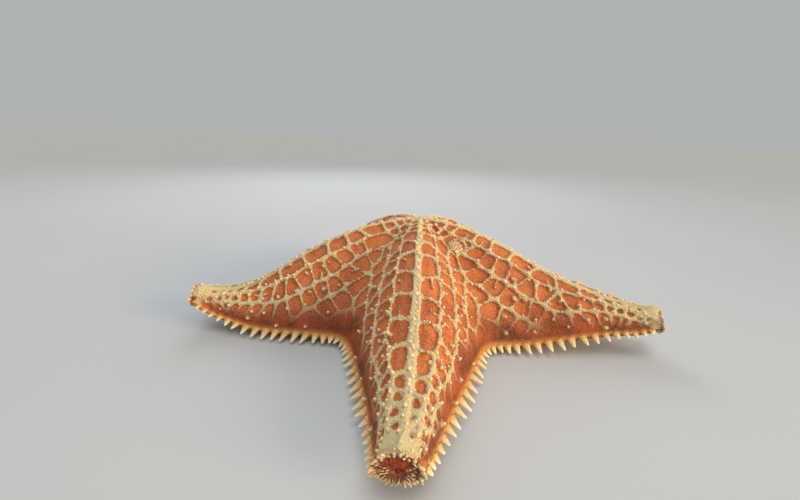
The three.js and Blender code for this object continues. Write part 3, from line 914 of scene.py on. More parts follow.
def skin_finish():
    """Cream on the lines, orange in the patches and red-brown on the lower flanks, made darker
    there partly as painted shade, all with grains about a millimetre across. The sole is tan,
    with plates and darker seams."""
    material, tree, shader = new_finish("granular_skin")
    names = ("line", "shown", "level", "tone", "plate", "face")
    line, shown, level, tone, plate, face = (field(tree, name) for name in names)
    place = put(tree, "ShaderNodeTexCoord").outputs["Object"]
    ragged = calculate(tree, "SUBTRACT", clouds(tree, RAGGED_SCALE), 0.5)
    wobble = calculate(tree, "MULTIPLY_ADD", ragged, 1.6, line)
    inputs = {"Vector": place, "Scale": GRAIN_SCALE, "Randomness": 0.9}
    grains = put(tree, "ShaderNodeTexVoronoi", inputs)
    grain_top = ramp(tree, grains.outputs["Distance"], 0.75, 0.1)
    speckled = calculate(tree, "MULTIPLY", grain_top, 0.45)
    blotch = clouds(tree, BLOTCH_SCALE, 4.0, Roughness=0.6)
    blotch_share = ramp(tree, blotch, 0.32, 0.68)
    # Patches between the lines, darker along the foot of their walls as painted shade.
    deep = blend_colours(tree, blotch_share, ORANGE_DEEP, ORANGE)
    tuned = blend_colours(tree, calculate(tree, "MULTIPLY", tone, 0.45), deep, ORANGE)
    orange = blend_colours(tree, speckled, tuned, ORANGE_PALE)
    # Painted shade in the sunken patches, where they meet the raised lines.
    wall = calculate(tree, "MULTIPLY", ramp(tree, wobble, 1.3, 0.3), 0.45)
    orange = blend_colours(tree, wall, orange, ORANGE_DEEP)
    # Lines.
    cream = blend_colours(tree, blotch_share, CREAM_GREEN, CREAM)
    cream = blend_colours(tree, grain_top, CREAM_SHADE, cream)
    upper = blend_colours(tree, ramp(tree, wobble, -0.12, 0.38), cream, orange)
    # Lower flanks, their own red-brown darkened partly as painted shade, and the yellow edge.
    flank = blend_colours(tree, blotch_share, RED_BROWN, ORANGE_DEEP)
    flank = blend_colours(tree, calculate(tree, "MULTIPLY", speckled, 0.6), flank, ORANGE)
    sides = blend_colours(tree, shown, flank, upper)
    edge_share = calculate(tree, "MAXIMUM", plate, ramp(tree, level, 0.11, 0.03))
    edge_share = calculate(tree, "MULTIPLY", edge_share, 0.6)
    sides = blend_colours(tree, edge_share, sides, EDGE_YELLOW)
    # Sole, paved with plates.
    inputs = {"Vector": place, "Scale": SOLE_PLATE_SCALE}
    plates = put(tree, "ShaderNodeTexVoronoi", inputs, feature="DISTANCE_TO_EDGE")
    seam = ramp(tree, plates.outputs["Distance"], 0.0, 0.12)
    sole = ramp(tree, level, 0.015, -0.04)
    sole_tone = blend_colours(tree, grain_top, SOLE_SHADE, SOLE_TAN)
    sole_tone = blend_colours(tree, seam, SOLE_SEAM, sole_tone)
    colour = blend_colours(tree, sole, sides, sole_tone)
    # Hollow face of an arm's end.
    ragged_face = calculate(tree, "MULTIPLY_ADD", ragged, 0.8, face)
    colour = blend_colours(tree, ramp(tree, ragged_face, 0.25, 0.75), colour, FACE_RED)
    tree.links.new(colour, shader.inputs["Base Color"])
    shaped = calculate(tree, "MULTIPLY", ramp(tree, line, 0.9, -0.7), shown)
    paved = calculate(tree, "MULTIPLY_ADD", seam, sole, shaped)
    crest = emboss(tree, shader, paved, 0.0007, 0.8)
    emboss(tree, shader, grain_top, 0.00035, 0.75, Normal=crest)
    rough = put(tree, "ShaderNodeMapRange", {"Value": blotch, "To Min": 0.55, "To Max": 0.75})
    tree.links.new(rough.outputs[0], shader.inputs["Roughness"])
    shader.inputs["Specular IOR Level"].default_value = 0.25
    let_light_in(shader, 0.12, SKIN_BLEED, 0.002)
    return material


skin = make_piece("skin", skin_finish(), skin_points, skin_triangles, skin_fields)
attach(skin, "root")
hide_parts("disc", *(f"arm_{name}" for name in ARMS))

# ---- Edge spines ----
# Stout blunt limy spines, one on each plate of the margin, that fence the animal in all
# round. Each is a single crystal under thin skin, so it is cream and a little see-through,
# and orange where the skin climbs up its foot.
SPINE_LENGTH = 6.6
SPINE_RADIUS = 2.15
SPINE_FLATNESS = 0.62              # upright radius over the radius along the margin
SPINE_BOW = 0.10                   # rise of its tip over its length
LIME_BLEED = (1.0, 0.6, 0.3)       # how far red, green and blue light go in lime
SPINE_SCATTER = 0.09
SPINE_PROFILE = (                  # sides, then heights and widths of its rings
    10,
    (-0.16, 0.0, 0.10, 0.30, 0.54, 0.76, 0.90, 0.975),
    (1.15, 1.08, 0.95, 0.78, 0.60, 0.44, 0.31, 0.16),
)


def spike_solids(roots, ways, lengths, radii, sides, heights, widths, lift=0.0, flatness=1.0):
    """One closed spike for each root. Ring k is an ellipse of widths[k] times the radius,
    flatter upright than across, set heights[k] of the length along the way, and the axis
    rises by lift times the height squared. A point closes the tip and another the foot."""
    lengths, radii = lengths + np.zeros(len(roots)), radii + np.zeros(len(roots))
    ways = unit(ways)
    helper = np.where(np.abs(ways[:, 2:]) < 0.9, [[0.0, 0.0, 1.0]], [[1.0, 0.0, 0.0]])
    first = unit(np.cross(ways, helper))
    second = np.cross(ways, first)
    heights, widths = np.array(heights), np.array(widths)
    turn = np.arange(sides) * 2 * np.pi / sides
    reach = heights[None, :, None, None] * lengths[:, None, None, None]
    girth = widths[None, :, None, None] * radii[:, None, None, None]
    around = first[:, None, :] * np.cos(turn)[:, None]
    around = around + flatness * second[:, None, :] * np.sin(turn)[:, None]
    bow = np.array([0, 0, lift]) * np.sign(heights)[None, :, None, None]
    rings = roots[:, None, None] + ways[:, None, None] * reach + around[:, None] * girth
    rings = rings + bow * reach * heights[None, :, None, None]
    tip = roots + ways * lengths[:, None] + np.array([0, 0, lift]) * lengths[:, None]
    foot = roots + ways * (lengths * heights[0])[:, None]
    count, stride = len(roots), len(heights) * sides + 2
    points = np.concatenate([rings.reshape(count, -1, 3), tip[:, None], foot[:, None]], 1)
    index = np.arange(len(heights) * sides).reshape(len(heights), sides)
    step = np.roll(index, -1, 1)
    quads = np.stack([index[:-1], index[1:], step[1:], step[:-1]], -1).reshape(-1, 4)
    cap = np.stack([index[-1], np.full(sides, stride - 2), step[-1]], -1)
    sole = np.stack([step[0], np.full(sides, stride - 1), index[0]], -1)
    starts = np.arange(count)[:, None, None] * stride
    quads = (quads + starts).reshape(-1, 4)
    caps = (np.concatenate([cap, sole]) + starts).reshape(-1, 3)
    along = np.tile(np.concatenate([np.repeat(heights, sides), [1.0, heights[0]]]), count)
    tone = np.repeat(pair_chance(np.arange(count), 3), stride)
    fields = {"along": np.clip(along, 0, 1), "tone": tone}
    return points.reshape(-1, 3), (quads, caps), fields


def spine_finish(name, foot, shaft, tip, roughness, clear):
    """Limy crystal under thin skin: the colour runs from foot to tip, with fine streaks."""
    material, tree, shader = new_finish(name)
    foot, shaft, tip = srgb(*foot), srgb(*shaft), srgb(*tip)
    along, tone, cloud = field(tree, "along"), field(tree, "tone"), clouds(tree, 700.0)
    spread = calculate(tree, "SUBTRACT", cloud, 0.5)
    spread = calculate(tree, "MULTIPLY_ADD", spread, 0.45, along)
    lower = blend_colours(tree, ramp(tree, spread, 0.02, 0.42), foot, shaft)
    whole = blend_colours(tree, ramp(tree, spread, 0.45, 0.95), lower, tip)
    colour = blend_colours(tree, calculate(tree, "MULTIPLY", tone, 0.28), whole, foot)
    tree.links.new(colour, shader.inputs["Base Color"])
    emboss(tree, shader, cloud, 0.0003, 0.5)
    shader.inputs["Roughness"].default_value = roughness
    let_light_in(shader, clear, LIME_BLEED, 0.0015)
    return material


def grow_spikes(name, slot, finish, profile, places, **more):
    """Makes one joined piece of spikes from their roots, ways, lengths and radii."""
    piece = make_piece(name, finish, *spike_solids(*places, *profile, **more))
    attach(piece, "root")


def edge_spine_places():
    """Roots, scattered ways, lengths and radii of the edge spines."""
    draw = np.random.default_rng(21)
    ways = spine_ways + SPINE_SCATTER * draw.normal(size=spine_ways.shape)
    lengths = SPINE_LENGTH * spine_growth * draw.uniform(0.86, 1.0, len(spine_growth))
    return spine_roots, ways, lengths, SPINE_RADIUS * mix(0.6, 1, spine_growth)


spine_lime = spine_finish(
    "edge_spine_lime", (214, 160, 94), (228, 208, 156), (238, 230, 202), 0.42, 0.25)
grow_spikes(
    "edge_spines", "skin", spine_lime, SPINE_PROFILE, edge_spine_places(),
    lift=SPINE_BOW, flatness=SPINE_FLATNESS,
)

# ---- Cones of the upper side ----
# Short blunt cones of the same lime. One row stands over the edge spines, others run along
# the flanks, and small ones sit where the lines of the network meet. Knobs crown the ridges.
CONE_PROFILE = (8, (-0.25, 0.0, 0.34, 0.68, 0.92), (1.25, 1.08, 0.90, 0.68, 0.36))
CONE_RISE = 0.45                   # how much they lean upwards from the skin's normal
NODE_CONE_GAP = 3.4
NODE_CONE_SIZE = (1.0, 0.88)       # length and radius
KNOB_FROM, KNOB_TO = 8, 124        # distances along each ridge
KNOB_SPACING = 5.6
KNOB_SIZE = (1.0, 1.15)


def node_cone_places():
    """Junctions of the network, thinned so that no two are closer than NODE_CONE_GAP."""
    junction, level, out = (skin_fields[key] for key in ("junction", "level", "out"))
    draw = np.random.default_rng(32)
    likely = np.flatnonzero((junction < 0.9) & (level > 0.40) & (skin_fields["shown"] > 0.5))
    likely = likely[np.argsort(junction[likely])]
    chosen = []
    for index in likely:
        gap = NODE_CONE_GAP * (1.0 if out[index] > 30 else 0.8)
        away = np.linalg.norm(body_points[chosen] - body_points[index], axis=1)
        if not chosen or away.min() > gap:
            chosen.append(index)
    return np.array(chosen), NODE_CONE_SIZE * draw.uniform(0.6, 1.15, (len(chosen), 1))


def knob_places():
    """Evenly spaced points along every ridge, with their sizes."""
    draw = np.random.default_rng(35)
    places = []
    for arm in ARMS.values():
        line = half_arm_lines(np.linspace(0, 1, 400), arm["swell"])["crest"]
        walk = np.concatenate([[0], np.cumsum(np.linalg.norm(np.diff(line, axis=0), axis=1))])
        spots = points_along(line, walk, np.arange(KNOB_FROM, KNOB_TO, KNOB_SPACING))
        places.append(place_on_arm(spots, arm))
    chosen = nearest_index(np.concatenate(places), body_points)
    return chosen, np.tile(KNOB_SIZE, (len(chosen), 1)) * draw.uniform(0.6, 1.2, (len(chosen), 1))


def cone_places():
    """Roots, ways, lengths and radii of the cones of the flanks, lines and ridges."""
    flank_cones = (nearest_index(flank_spots, body_points), flank_sizes)
    chosen, sizes = join([flank_cones, node_cone_places(), knob_places()])
    return skin_points[chosen], skin_normals[chosen] + [0, 0, CONE_RISE], *sizes.T


cone_lime = spine_finish(
    "cone_lime", (210, 156, 100), (228, 200, 150), (240, 224, 192), 0.5, 0.15)
grow_spikes("upper_cones", "skin", cone_lime, CONE_PROFILE, cone_places())

# ---- Granules of the network ----
# The limy plates of the cream network are beset with small rounded grains of lime, which
# make every line rough and its outline knobbly. They are one joined piece of low domes.
GRANULE_GAP = 2.5                  # one at most in each cube of this size
GRANULE_RADII = (0.30, 0.60)
TIP_GRANULES = 0.35                # share of them kept near the tips
GRANULE_STRETCH = 1.05             # height over radius
GRANULE_PROFILE = (5, (-0.45, 0.30, 0.78), (1.05, 0.88, 0.48))


def granule_places():
    """Skin points on the raised lines, in seeded order, thinned to one in each cube, with
    their ways, heights and radii."""
    draw = np.random.default_rng(37)
    line, shown, level, face, out = (
        skin_fields[key] for key in ("line", "shown", "level", "face", "out"))
    on_line = (line < -0.10) & (shown > 0.55) & (level > 0.3) & (face < 0.3)
    likely = draw.permutation(np.flatnonzero(on_line))
    cubes = np.floor(skin_points[likely] / GRANULE_GAP)
    _, first = np.unique(cubes, axis=0, return_index=True)
    chosen = likely[np.sort(first)]
    kept = mix(1, TIP_GRANULES, smoothstep(88, 112, out[chosen]))
    chosen = chosen[draw.random(len(chosen)) < kept]
    radii = mix(*GRANULE_RADII, draw.random(len(chosen)) ** 1.6)
    return skin_points[chosen], skin_normals[chosen], GRANULE_STRETCH * radii, radii


granule_lime = spine_finish(
    "granule_lime", (214, 192, 144), (226, 208, 164), (238, 226, 194), 0.5, 0.15)
grow_spikes("network_granules", "skin", granule_lime, GRANULE_PROFILE, granule_places())

# ---- Arm ends ----
# Each arm ends in a blunt face. A pleated red-brown pad of soft skin, with a pit for the
# eyespot, fills it and closes the furrow's end. Short spines stand round it and on it like
# lashes, and hang from it like a fringe.
PAD_HALF_WIDTH = 6.7
PAD_UP, PAD_DOWN = 4.6, 2.9        # heights above and below its middle
PAD_BULGE = 2.7                    # its front over the plane of its rim
PAD_PIT_DEPTH = 2.3
PAD_PIT_SHARE = 0.40               # radius of the pit over that of the pad
PAD_BACK = 1.5                     # its hidden flat back behind its middle
PAD_PLEATS = 27
PLEAT_DEPTH = 0.30
PAD_MIDDLE = np.array([END_X - 2.7, 0.0, END_HEIGHT - 0.3])
PAD_STEPS = 25
PAD_SPOKES = 6 * PAD_PLEATS
# Dark brown in the pleats' creases as painted shade, and tan on their crests as painted light.
PAD_BROWN = srgb(70, 34, 24)
PLEAT_TAN = srgb(160, 104, 66)
PIT_ORANGE = srgb(170, 82, 48)


def pad_point(s, beta, pleat=0.0):
    """Front of the pad at a fraction s of its outline and angle beta: an ellipsoid, less a pit
    that falls off as a bell curve, with pleats that run out from the pit."""
    up = np.where(np.sin(beta) > 0, PAD_UP, PAD_DOWN) * s * np.sin(beta)
    side = PAD_HALF_WIDTH * s * np.cos(beta)
    pit = PAD_PIT_DEPTH * np.exp(-(s / PAD_PIT_SHARE) ** 2)
    forward = PAD_BULGE * np.sqrt(np.clip(1 - s ** 2, 0, 1)) - pit
    forward = forward + PLEAT_DEPTH * pleat * smoothstep(0.25, 0.5, s) * (1 - s ** 4)
    return PAD_MIDDLE + np.stack([forward - np.sin(END_TILT) * up, side, up], -1)


def end_pads():
    """One closed lens for each arm, front and back, with fields for the fraction of the
    outline and for the pleats."""
    s = np.sin(np.linspace(0, 1, PAD_STEPS) * np.pi / 2)[:, None]
    beta = np.linspace(0, 2 * np.pi, PAD_SPOKES + 1)[None]
    pleat = np.cos(PAD_PLEATS * beta + 1.5 * np.sin(3 * beta)) + 0 * s
    front = pad_point(s + 0 * beta, beta + 0 * s, pleat)
    back = front[-2::-1] * [0, 1, 1] + [PAD_MIDDLE[0] - PAD_BACK, 0, 0]
    sheet = np.concatenate([front, back])
    out = (np.concatenate([s, 0 * s[1:] + 1])[:, :1] + 0 * beta).reshape(-1)
    fold = np.concatenate([pleat, pleat[1:]]).reshape(-1)
    triangles = grid_triangles(*sheet.shape[:2])
    points, triangles, out, fold = join(
        (place_on_arm(sheet, arm).reshape(-1, 3), triangles + number * len(out), out, fold)
        for number, arm in enumerate(ARMS.values())
    )
    return weld(points, triangles, {"out": out, "fold": fold})


def pad_finish():
    """Soft skin, orange-red round the pit and brown towards the rim, where the pleats' crests are
    paler as painted light and the creases between them dark brown as painted shade.
    """
    material, tree, shader = new_finish("end_pad_skin")
    out, fold, cloud = field(tree, "out"), field(tree, "fold"), clouds(tree, 600.0)
    # Painted light and shade of the pleats: tan on their crests, dark brown in their creases.
    dark = blend_colours(tree, ramp(tree, fold, -0.4, 0.9), PAD_BROWN, PLEAT_TAN)
    mottled = calculate(tree, "MULTIPLY_ADD", cloud, 0.5, out)
    colour = blend_colours(tree, ramp(tree, mottled, 0.32, 0.66), PIT_ORANGE, dark)
    tree.links.new(colour, shader.inputs["Base Color"])
    emboss(tree, shader, cloud, 0.0003, 0.6)
    shader.inputs["Roughness"].default_value = 0.5
    let_light_in(shader, 0.15, SKIN_BLEED, 0.001)
    return material


pads = make_piece("end_pads", pad_finish(), *end_pads())
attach(pads, "root")

LASH_RINGS = (                     # fraction of the face, count, length, radius, forward lean
    (0.99, 27, 2.3, 0.80, 0.5),
    (0.85, 25, 2.1, 0.58, 0.6),
)
PAD_LASH_RINGS = (                 # fraction of the pad, count, length, radius, forward lean
    (0.92, 31, 1.9, 0.42, 0.20),
    (0.77, 27, 2.1, 0.38, 0.28),
    (0.60, 21, 2.0, 0.33, 0.40),
    (0.43, 13, 1.6, 0.28, 0.70),
)
BARE_BROW = 0.62                   # no lash stands on the pad above this sine, over the pit
LIP_TURN = np.radians(52)          # the rim runs on below its corners to the furrow's lips


def rim_point(beta, fraction):
    """Rim of the hollow face: the end's ellipse over the top, and below its corners a
    straight run down to the furrow's lip, both drawn in to a fraction of their size."""
    over = end_face_point(np.clip(beta, 0, np.pi), fraction)
    below = np.maximum(-beta, beta - np.pi) / LIP_TURN
    side = np.where(beta > np.pi / 2, -1.0, 1.0)
    lip_z = END_UPTURN + UNDER_CLEARANCE
    lip = np.stack([0 * beta + END_X + END_LIP, side * GROOVE_HALF_WIDTH, 0 * beta + lip_z], -1)
    return mix(over, lip, np.clip(below, 0, 1)[:, None])


def lash_places():
    """Rings of lashes round the rim and on the pad, leaning forwards out of the face."""
    draw = np.random.default_rng(41)
    lashes = []
    for arm in ARMS.values():
        for fraction, count, length, radius, forward in LASH_RINGS:
            beta = np.linspace(-LIP_TURN, np.pi + LIP_TURN, count) + draw.normal(0, 0.09, count)
            root = rim_point(beta, fraction) - [(1 - fraction) * END_RECESS, 0, 0]
            out = unit(root - [END_X - END_RECESS, 0, END_HEIGHT])
            way = unit(out + [forward, 0, -0.10] + draw.normal(0, 0.22, (count, 3)))
            lengths = length * draw.uniform(0.6, 1.0, count)
            radii = radius * draw.uniform(0.75, 1.15, count)
            lashes.append((*on_arm(root, way, arm), lengths, radii))
        for fraction, count, length, radius, forward in PAD_LASH_RINGS:
            beta = (np.arange(count) + draw.normal(0, 0.16, count)) * 2 * np.pi / count
            beta = beta[(np.sin(beta) < BARE_BROW) | (fraction > 0.8)]
            way = np.stack([forward + 0 * beta, np.cos(beta), np.sin(beta)], -1)
            way = unit(way + draw.normal(0, 0.15, way.shape))
            root = pad_point(fraction + 0 * beta, beta)
            longer_below = mix(1.15, 0.7, smoothstep(-0.6, 0.9, np.sin(beta)))
            lengths = length * longer_below * draw.uniform(0.7, 1.0, len(beta))
            radii = radius * draw.uniform(0.8, 1.1, len(beta))
            lashes.append((*on_arm(root, way, arm), lengths, radii))
    return join(lashes)


FRINGE_ROWS = ((3.2, 3.6), (5.2, 3.6))    # behind the furrow's end, length
FRINGE_COUNT = 11
FRINGE_RADIUS = 0.46
FRINGE_WAY = (0.45, 0.35, -1.0)    # forwards, outwards at the sides, and down


def fringe_places():
    """Spines that hang like a curtain from the arch over the furrow's end."""
    draw = np.random.default_rng(43)
    low, high = END_UPTURN + UNDER_CLEARANCE, GROOVE_DEPTH + 0.5 * END_UPTURN + 1
    fringe = []
    for arm in ARMS.values():
        for behind, length in FRINGE_ROWS:
            across = np.linspace(-0.92, 0.92, FRINGE_COUNT)
            across = across + draw.normal(0, 0.04, FRINGE_COUNT)
            one = 0 * across + 1
            arch = np.sqrt(np.clip(1 - across ** 2, 0, 1))
            root = [(END_X - behind) * one, GROOVE_HALF_WIDTH * across, mix(low, high, arch)]
            way = np.stack([one, across, one], -1) * FRINGE_WAY
            way = way + draw.normal(0, 0.08, way.shape)
            lengths = length * mix(0.42, 1, arch) * draw.uniform(0.85, 1.0, FRINGE_COUNT)
            fringe.append((*on_arm(np.stack(root, -1), way, arm), lengths))
    return *join(fringe), FRINGE_RADIUS


lash_lime = spine_finish("lash_lime", (112, 58, 34), (200, 164, 112), (234, 218, 176), 0.5, 0.15)
grow_spikes("end_fringe", "skin", lash_lime, CONE_PROFILE, fringe_places())
grow_spikes("end_lashes", "skin", lash_lime, CONE_PROFILE, lash_places())

# ---- Eyespots ----
# A cushion of tiny red cups at the foot of the last tube foot, in the hollow of each arm's
# end. It is soft and wet, and grows from the arm's end plate.
EYESPOT_RADIUS = 1.15
EYE_RINGS, EYE_SPOKES = 30, 44
EYE_PLACE = (END_X - END_RECESS + 0.6, 0, END_HEIGHT - 0.8)    # on a straight arm
EYE_CUPS = 46
CUP_RADIUS = 0.20
CUP_RISE = 0.11


def eyespot_surface(middle):
    """Sphere with a rounded cup, r = R + rise * smoothstep of the distance, at each of the
    points that a golden-angle spiral spreads over it."""
    step = np.arange(EYE_CUPS)
    height = 1 - 2 * (step + 0.5) / EYE_CUPS
    turn = step * np.pi * (3 - np.sqrt(5))
    ring = np.sqrt(1 - height ** 2)
    cups = np.stack([ring * np.cos(turn), ring * np.sin(turn), height], -1) * EYESPOT_RADIUS
    theta = np.linspace(0, np.pi, EYE_RINGS + 1)[:, None]
    around = np.linspace(0, 2 * np.pi, EYE_SPOKES + 1)[None]
    ball = [np.sin(theta) * np.cos(around), np.sin(theta) * np.sin(around), np.cos(theta) + 0 * around]
    ball = np.stack(ball, -1).reshape(-1, 3)
    away = np.linalg.norm(ball[:, None] * EYESPOT_RADIUS - cups[None], axis=-1).min(1)
    cup = smoothstep(CUP_RADIUS, CUP_RADIUS * 0.3, away)
    points = middle + ball * (EYESPOT_RADIUS + CUP_RISE * cup)[:, None]
    return weld(points, grid_triangles(EYE_RINGS + 1, EYE_SPOKES + 1), {"cup": cup})


def eyespot_finish():
    """Wet dark red, brighter on the cups."""
    material, tree, shader = new_finish("eyespot_red")
    colour = blend_colours(tree, field(tree, "cup"), srgb(112, 30, 16), srgb(186, 62, 32))
    tree.links.new(colour, shader.inputs["Base Color"])
    shader.inputs["Roughness"].default_value = 0.22
    let_light_in(shader, 0.2, (1.0, 0.25, 0.15), 0.001)
    return material


eyespot_red = eyespot_finish()
for arm_name, arm in ARMS.items():
    surface = eyespot_surface(place_on_arm(EYE_PLACE, arm))
    eye = make_piece(f"eye_cushion_{arm_name}", eyespot_red, *surface)
    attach(eye, "root")
    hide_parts(f"eyespot_{arm_name}")

# ---- Sieve plate ----
# The one chalky plate on the upper side through which sea water is drawn in. It is a low
# dome of lime full of winding furrows, and it sits in a raised rim of the skin.
SIEVE_RINGS, SIEVE_SPOKES = 46, 150
SIEVE_UNDER = 0.9                  # depth of its hidden underside
FURROW_PITCH = 0.95
FURROW_CUT = 0.17


def sieve_plate_surface():
    """Lens whose upper side is an ellipse turned round its axis. Furrows are cut where a sum
    of equally long waves is below 0, which makes them wind."""
    flat = np.cross(sieve_outward, [0.0, 0.0, 1.0])
    flat /= np.linalg.norm(flat)
    other = np.cross(sieve_outward, flat)
    theta = np.linspace(0, np.pi, 2 * SIEVE_RINGS + 1)[:, None]
    around = np.linspace(0, 2 * np.pi, SIEVE_SPOKES + 1)[None]
    reach = SIEVE_RADIUS * np.sin(theta)
    plan = (reach * np.cos(around))[..., None] * flat + (reach * np.sin(around))[..., None] * other
    rise = np.where(theta < np.pi / 2, SIEVE_HEIGHT, SIEVE_UNDER) * np.cos(theta) + 0 * around
    points = (plan + rise[..., None] * sieve_outward).reshape(-1, 3)
    land = smoothstep(-0.10, 0.16, waves(points * [1, 1, 0.4], FURROW_PITCH, 17))
    share = np.linalg.norm(plan, axis=-1).reshape(-1) / SIEVE_RADIUS
    land = np.maximum(land, smoothstep(0.90, 1.0, share))
    land = np.where(rise.reshape(-1) > 0, land, 1.0)
    points = points - sieve_outward * (FURROW_CUT * (1 - land))[:, None]
    triangles = grid_triangles(2 * SIEVE_RINGS + 1, SIEVE_SPOKES + 1, flip=True)
    return weld(points + sieve_middle, triangles, {"land": land})


def sieve_finish():
    """Chalky cream with a faint mottle, and brown in the furrows as painted shade."""
    material, tree, shader = new_finish("sieve_plate_lime")
    land, mottle = field(tree, "land"), clouds(tree, 900.0, 4.0)
    chalk = ramp(tree, mottle, 0.35, 0.65)
    chalk = blend_colours(tree, chalk, srgb(216, 186, 134), srgb(240, 226, 186))
    # Brown in the furrows is painted shade; the land between them is chalk.
    colour = blend_colours(tree, land, srgb(150, 98, 58), chalk)
    tree.links.new(colour, shader.inputs["Base Color"])
    emboss(tree, shader, mottle, 0.0002, 0.5)
    shader.inputs["Roughness"].default_value = 0.8
    shader.inputs["Specular IOR Level"].default_value = 0.25
    return material


sieve = make_piece("sieve_plate", sieve_finish(), *sieve_plate_surface())
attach(sieve, "root")
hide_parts("madreporite")

# ---- Mouth ----
# Five pairs of jaw plates close round the mouth, each pair between two furrows. They are
# granular lime plates under skin with spines along their rims, and a thin wrinkled skin
# is stretched between them. Its middle dips in a shallow pit, painted near black as the
# shade of the mouth's small opening.
JAW_TURNS = np.radians([-54.0, 18.0, 90.0, 162.0, 234.0])
JAW_FROM, JAW_TO = 12.8, 4.7       # distances from the middle of its outer end and its tip
JAW_PLATE_APART = (2.5, 0.95)      # from the pair's middle plane, at the same two ends
JAW_PLATE_WIDTH = (1.9, 0.85)      # half widths there
JAW_HEIGHT = 2.2                   # floor to the plate's middle
JAW_HALF_HEIGHT = 1.25
JAW_STEPS, JAW_SPOKES = 41, 29
JAW_GRAIN = 0.07
MOUTH_SKIN_RADIUS = 5.8
MOUTH_SKIN_HEIGHT = 4.3
MOUTH_SKIN_RISE = 0.85             # thickness of the lens
MOUTH_OPENING = 1.7
MOUTH_PIT, MOUTH_SAG, MOUTH_FOLD = 0.75, 0.55, 0.12
MOUTH_FOLDS = 24
JAW_COMBS = (                      # along the plate, sideways share of its width, way, length, radius
    (np.linspace(0.93, 0.99, 4), 0.9, (-1.0, 0.30, -0.55), 2.3, 0.34),
    (np.linspace(0.12, 0.86, 8), 0.95, (-0.25, 0.9, -0.50), 1.7, 0.30),
    (np.linspace(0.25, 0.80, 4), 0.1, (-0.25, 0.1, -1.0), 0.95, 0.42),
)
JAW_SPINE_PROFILE = (7, (-0.25, 0.0, 0.5, 0.85, 0.96), (1.05, 1.0, 0.85, 0.62, 0.34))


def jaw_frame(turn):
    """Outward and sideways directions of a jaw pair."""
    outward = np.array([np.cos(turn), np.sin(turn), 0.0])
    sideways = np.array([-np.sin(turn), np.cos(turn), 0.0])
    return outward, sideways


def jaw_plates():
    """Ten rounded plates. Each is an ellipse carried from its outer end to its tip and drawn
    in at both ends as the square root of 1 - |2s - 1|^4, with grains from waves."""
    along = np.linspace(0, 1, JAW_STEPS)[:, None]
    around = np.linspace(0, 2 * np.pi, JAW_SPOKES)[None]
    girth = np.sqrt(np.clip(1 - np.abs(2 * along - 1) ** 4, 0, 1))
    plates = []
    for turn in JAW_TURNS:
        outward, sideways = jaw_frame(turn)
        for side in (1, -1):
            r = mix(JAW_FROM, JAW_TO, along) + 0 * around
            t = mix(*JAW_PLATE_APART, along)
            t = side * (t + mix(*JAW_PLATE_WIDTH, along) * girth * np.cos(around))
            z = JAW_HEIGHT + JAW_HALF_HEIGHT * girth * np.sin(around)
            plate = r[..., None] * outward + t[..., None] * sideways
            plate = plate + z[..., None] * np.array([0, 0, 1.0])
            triangles = grid_triangles(JAW_STEPS, JAW_SPOKES, flip=side < 0)
            triangles = triangles + len(plates) * JAW_STEPS * JAW_SPOKES
            plates.append((plate.reshape(-1, 3), triangles))
    points, triangles, _ = weld(*join(plates), {})
    grains = waves(points, 0.9, 51)
    points = points + point_normals(points, triangles) * (JAW_GRAIN * grains)[:, None]
    return points, triangles, {"grain": grains}


def mouth_skin():
    """Thin lens with rays of folds, falling in to a shallow pit in its middle where the mouth
    opens. Its depth field is high in the pit and in the troughs of the folds, which the
    finish darkens as painted shade.
    """
    ring = np.concatenate([np.linspace(0, 1, 34), np.linspace(1, 0, 8)[1:]])[:, None]
    under = (np.arange(len(ring)) < 34)[:, None]
    around = np.linspace(0, 2 * np.pi, 6 * MOUTH_FOLDS + 1)[None]
    reach = MOUTH_SKIN_RADIUS * ring + 0 * around
    fold = np.sin(MOUTH_FOLDS * around + 2.0 * np.sin(5 * around)) * smoothstep(0.18, 0.5, ring)
    pit = MOUTH_PIT * smoothstep(MOUTH_OPENING + 0.3, MOUTH_OPENING - 0.7, reach)
    sag = MOUTH_SAG * np.exp(-((reach - MOUTH_OPENING - 0.5) / 0.9) ** 2)
    low = MOUTH_SKIN_HEIGHT - sag - MOUTH_FOLD * fold + pit
    z = np.where(under, low, MOUTH_SKIN_HEIGHT + MOUTH_SKIN_RISE)
    points = np.stack([reach * np.cos(around), reach * np.sin(around), z], -1).reshape(-1, 3)
    depth = (pit / MOUTH_PIT + 0.25 * np.maximum(0, -fold) + 0 * z).reshape(-1)
    return weld(points, grid_triangles(*z.shape, flip=True), {"depth": depth})


def jaw_spine_places():
    """Spines of the jaws: a fan at each tip, a comb along each furrow side and a few stubs
    below, with their roots, ways, lengths and radii."""
    draw = np.random.default_rng(61)
    spines = []
    for turn, side in ((turn, side) for turn in JAW_TURNS for side in (1, -1)):
        outward, sideways = jaw_frame(turn)
        for along, share, way, length, radius in JAW_COMBS:
            height = JAW_HEIGHT - JAW_HALF_HEIGHT * (0.25 if share > 0.5 else 0.8)
            for s in along:
                girth = share * np.sqrt(1 - (2 * s - 1) ** 4)
                across = side * (mix(*JAW_PLATE_APART, s) + mix(*JAW_PLATE_WIDTH, s) * girth)
                root = mix(JAW_FROM, JAW_TO, s) * outward + across * sideways + [0, 0, height]
                lean = np.array(way) + draw.normal(0, 0.10, 3)
                down = lean[0] * outward + side * lean[1] * sideways + [0, 0, lean[2]]
                spines.append((root, down, length * draw.uniform(0.85, 1.1), radius))
    return [np.array(column) for column in zip(*spines)]


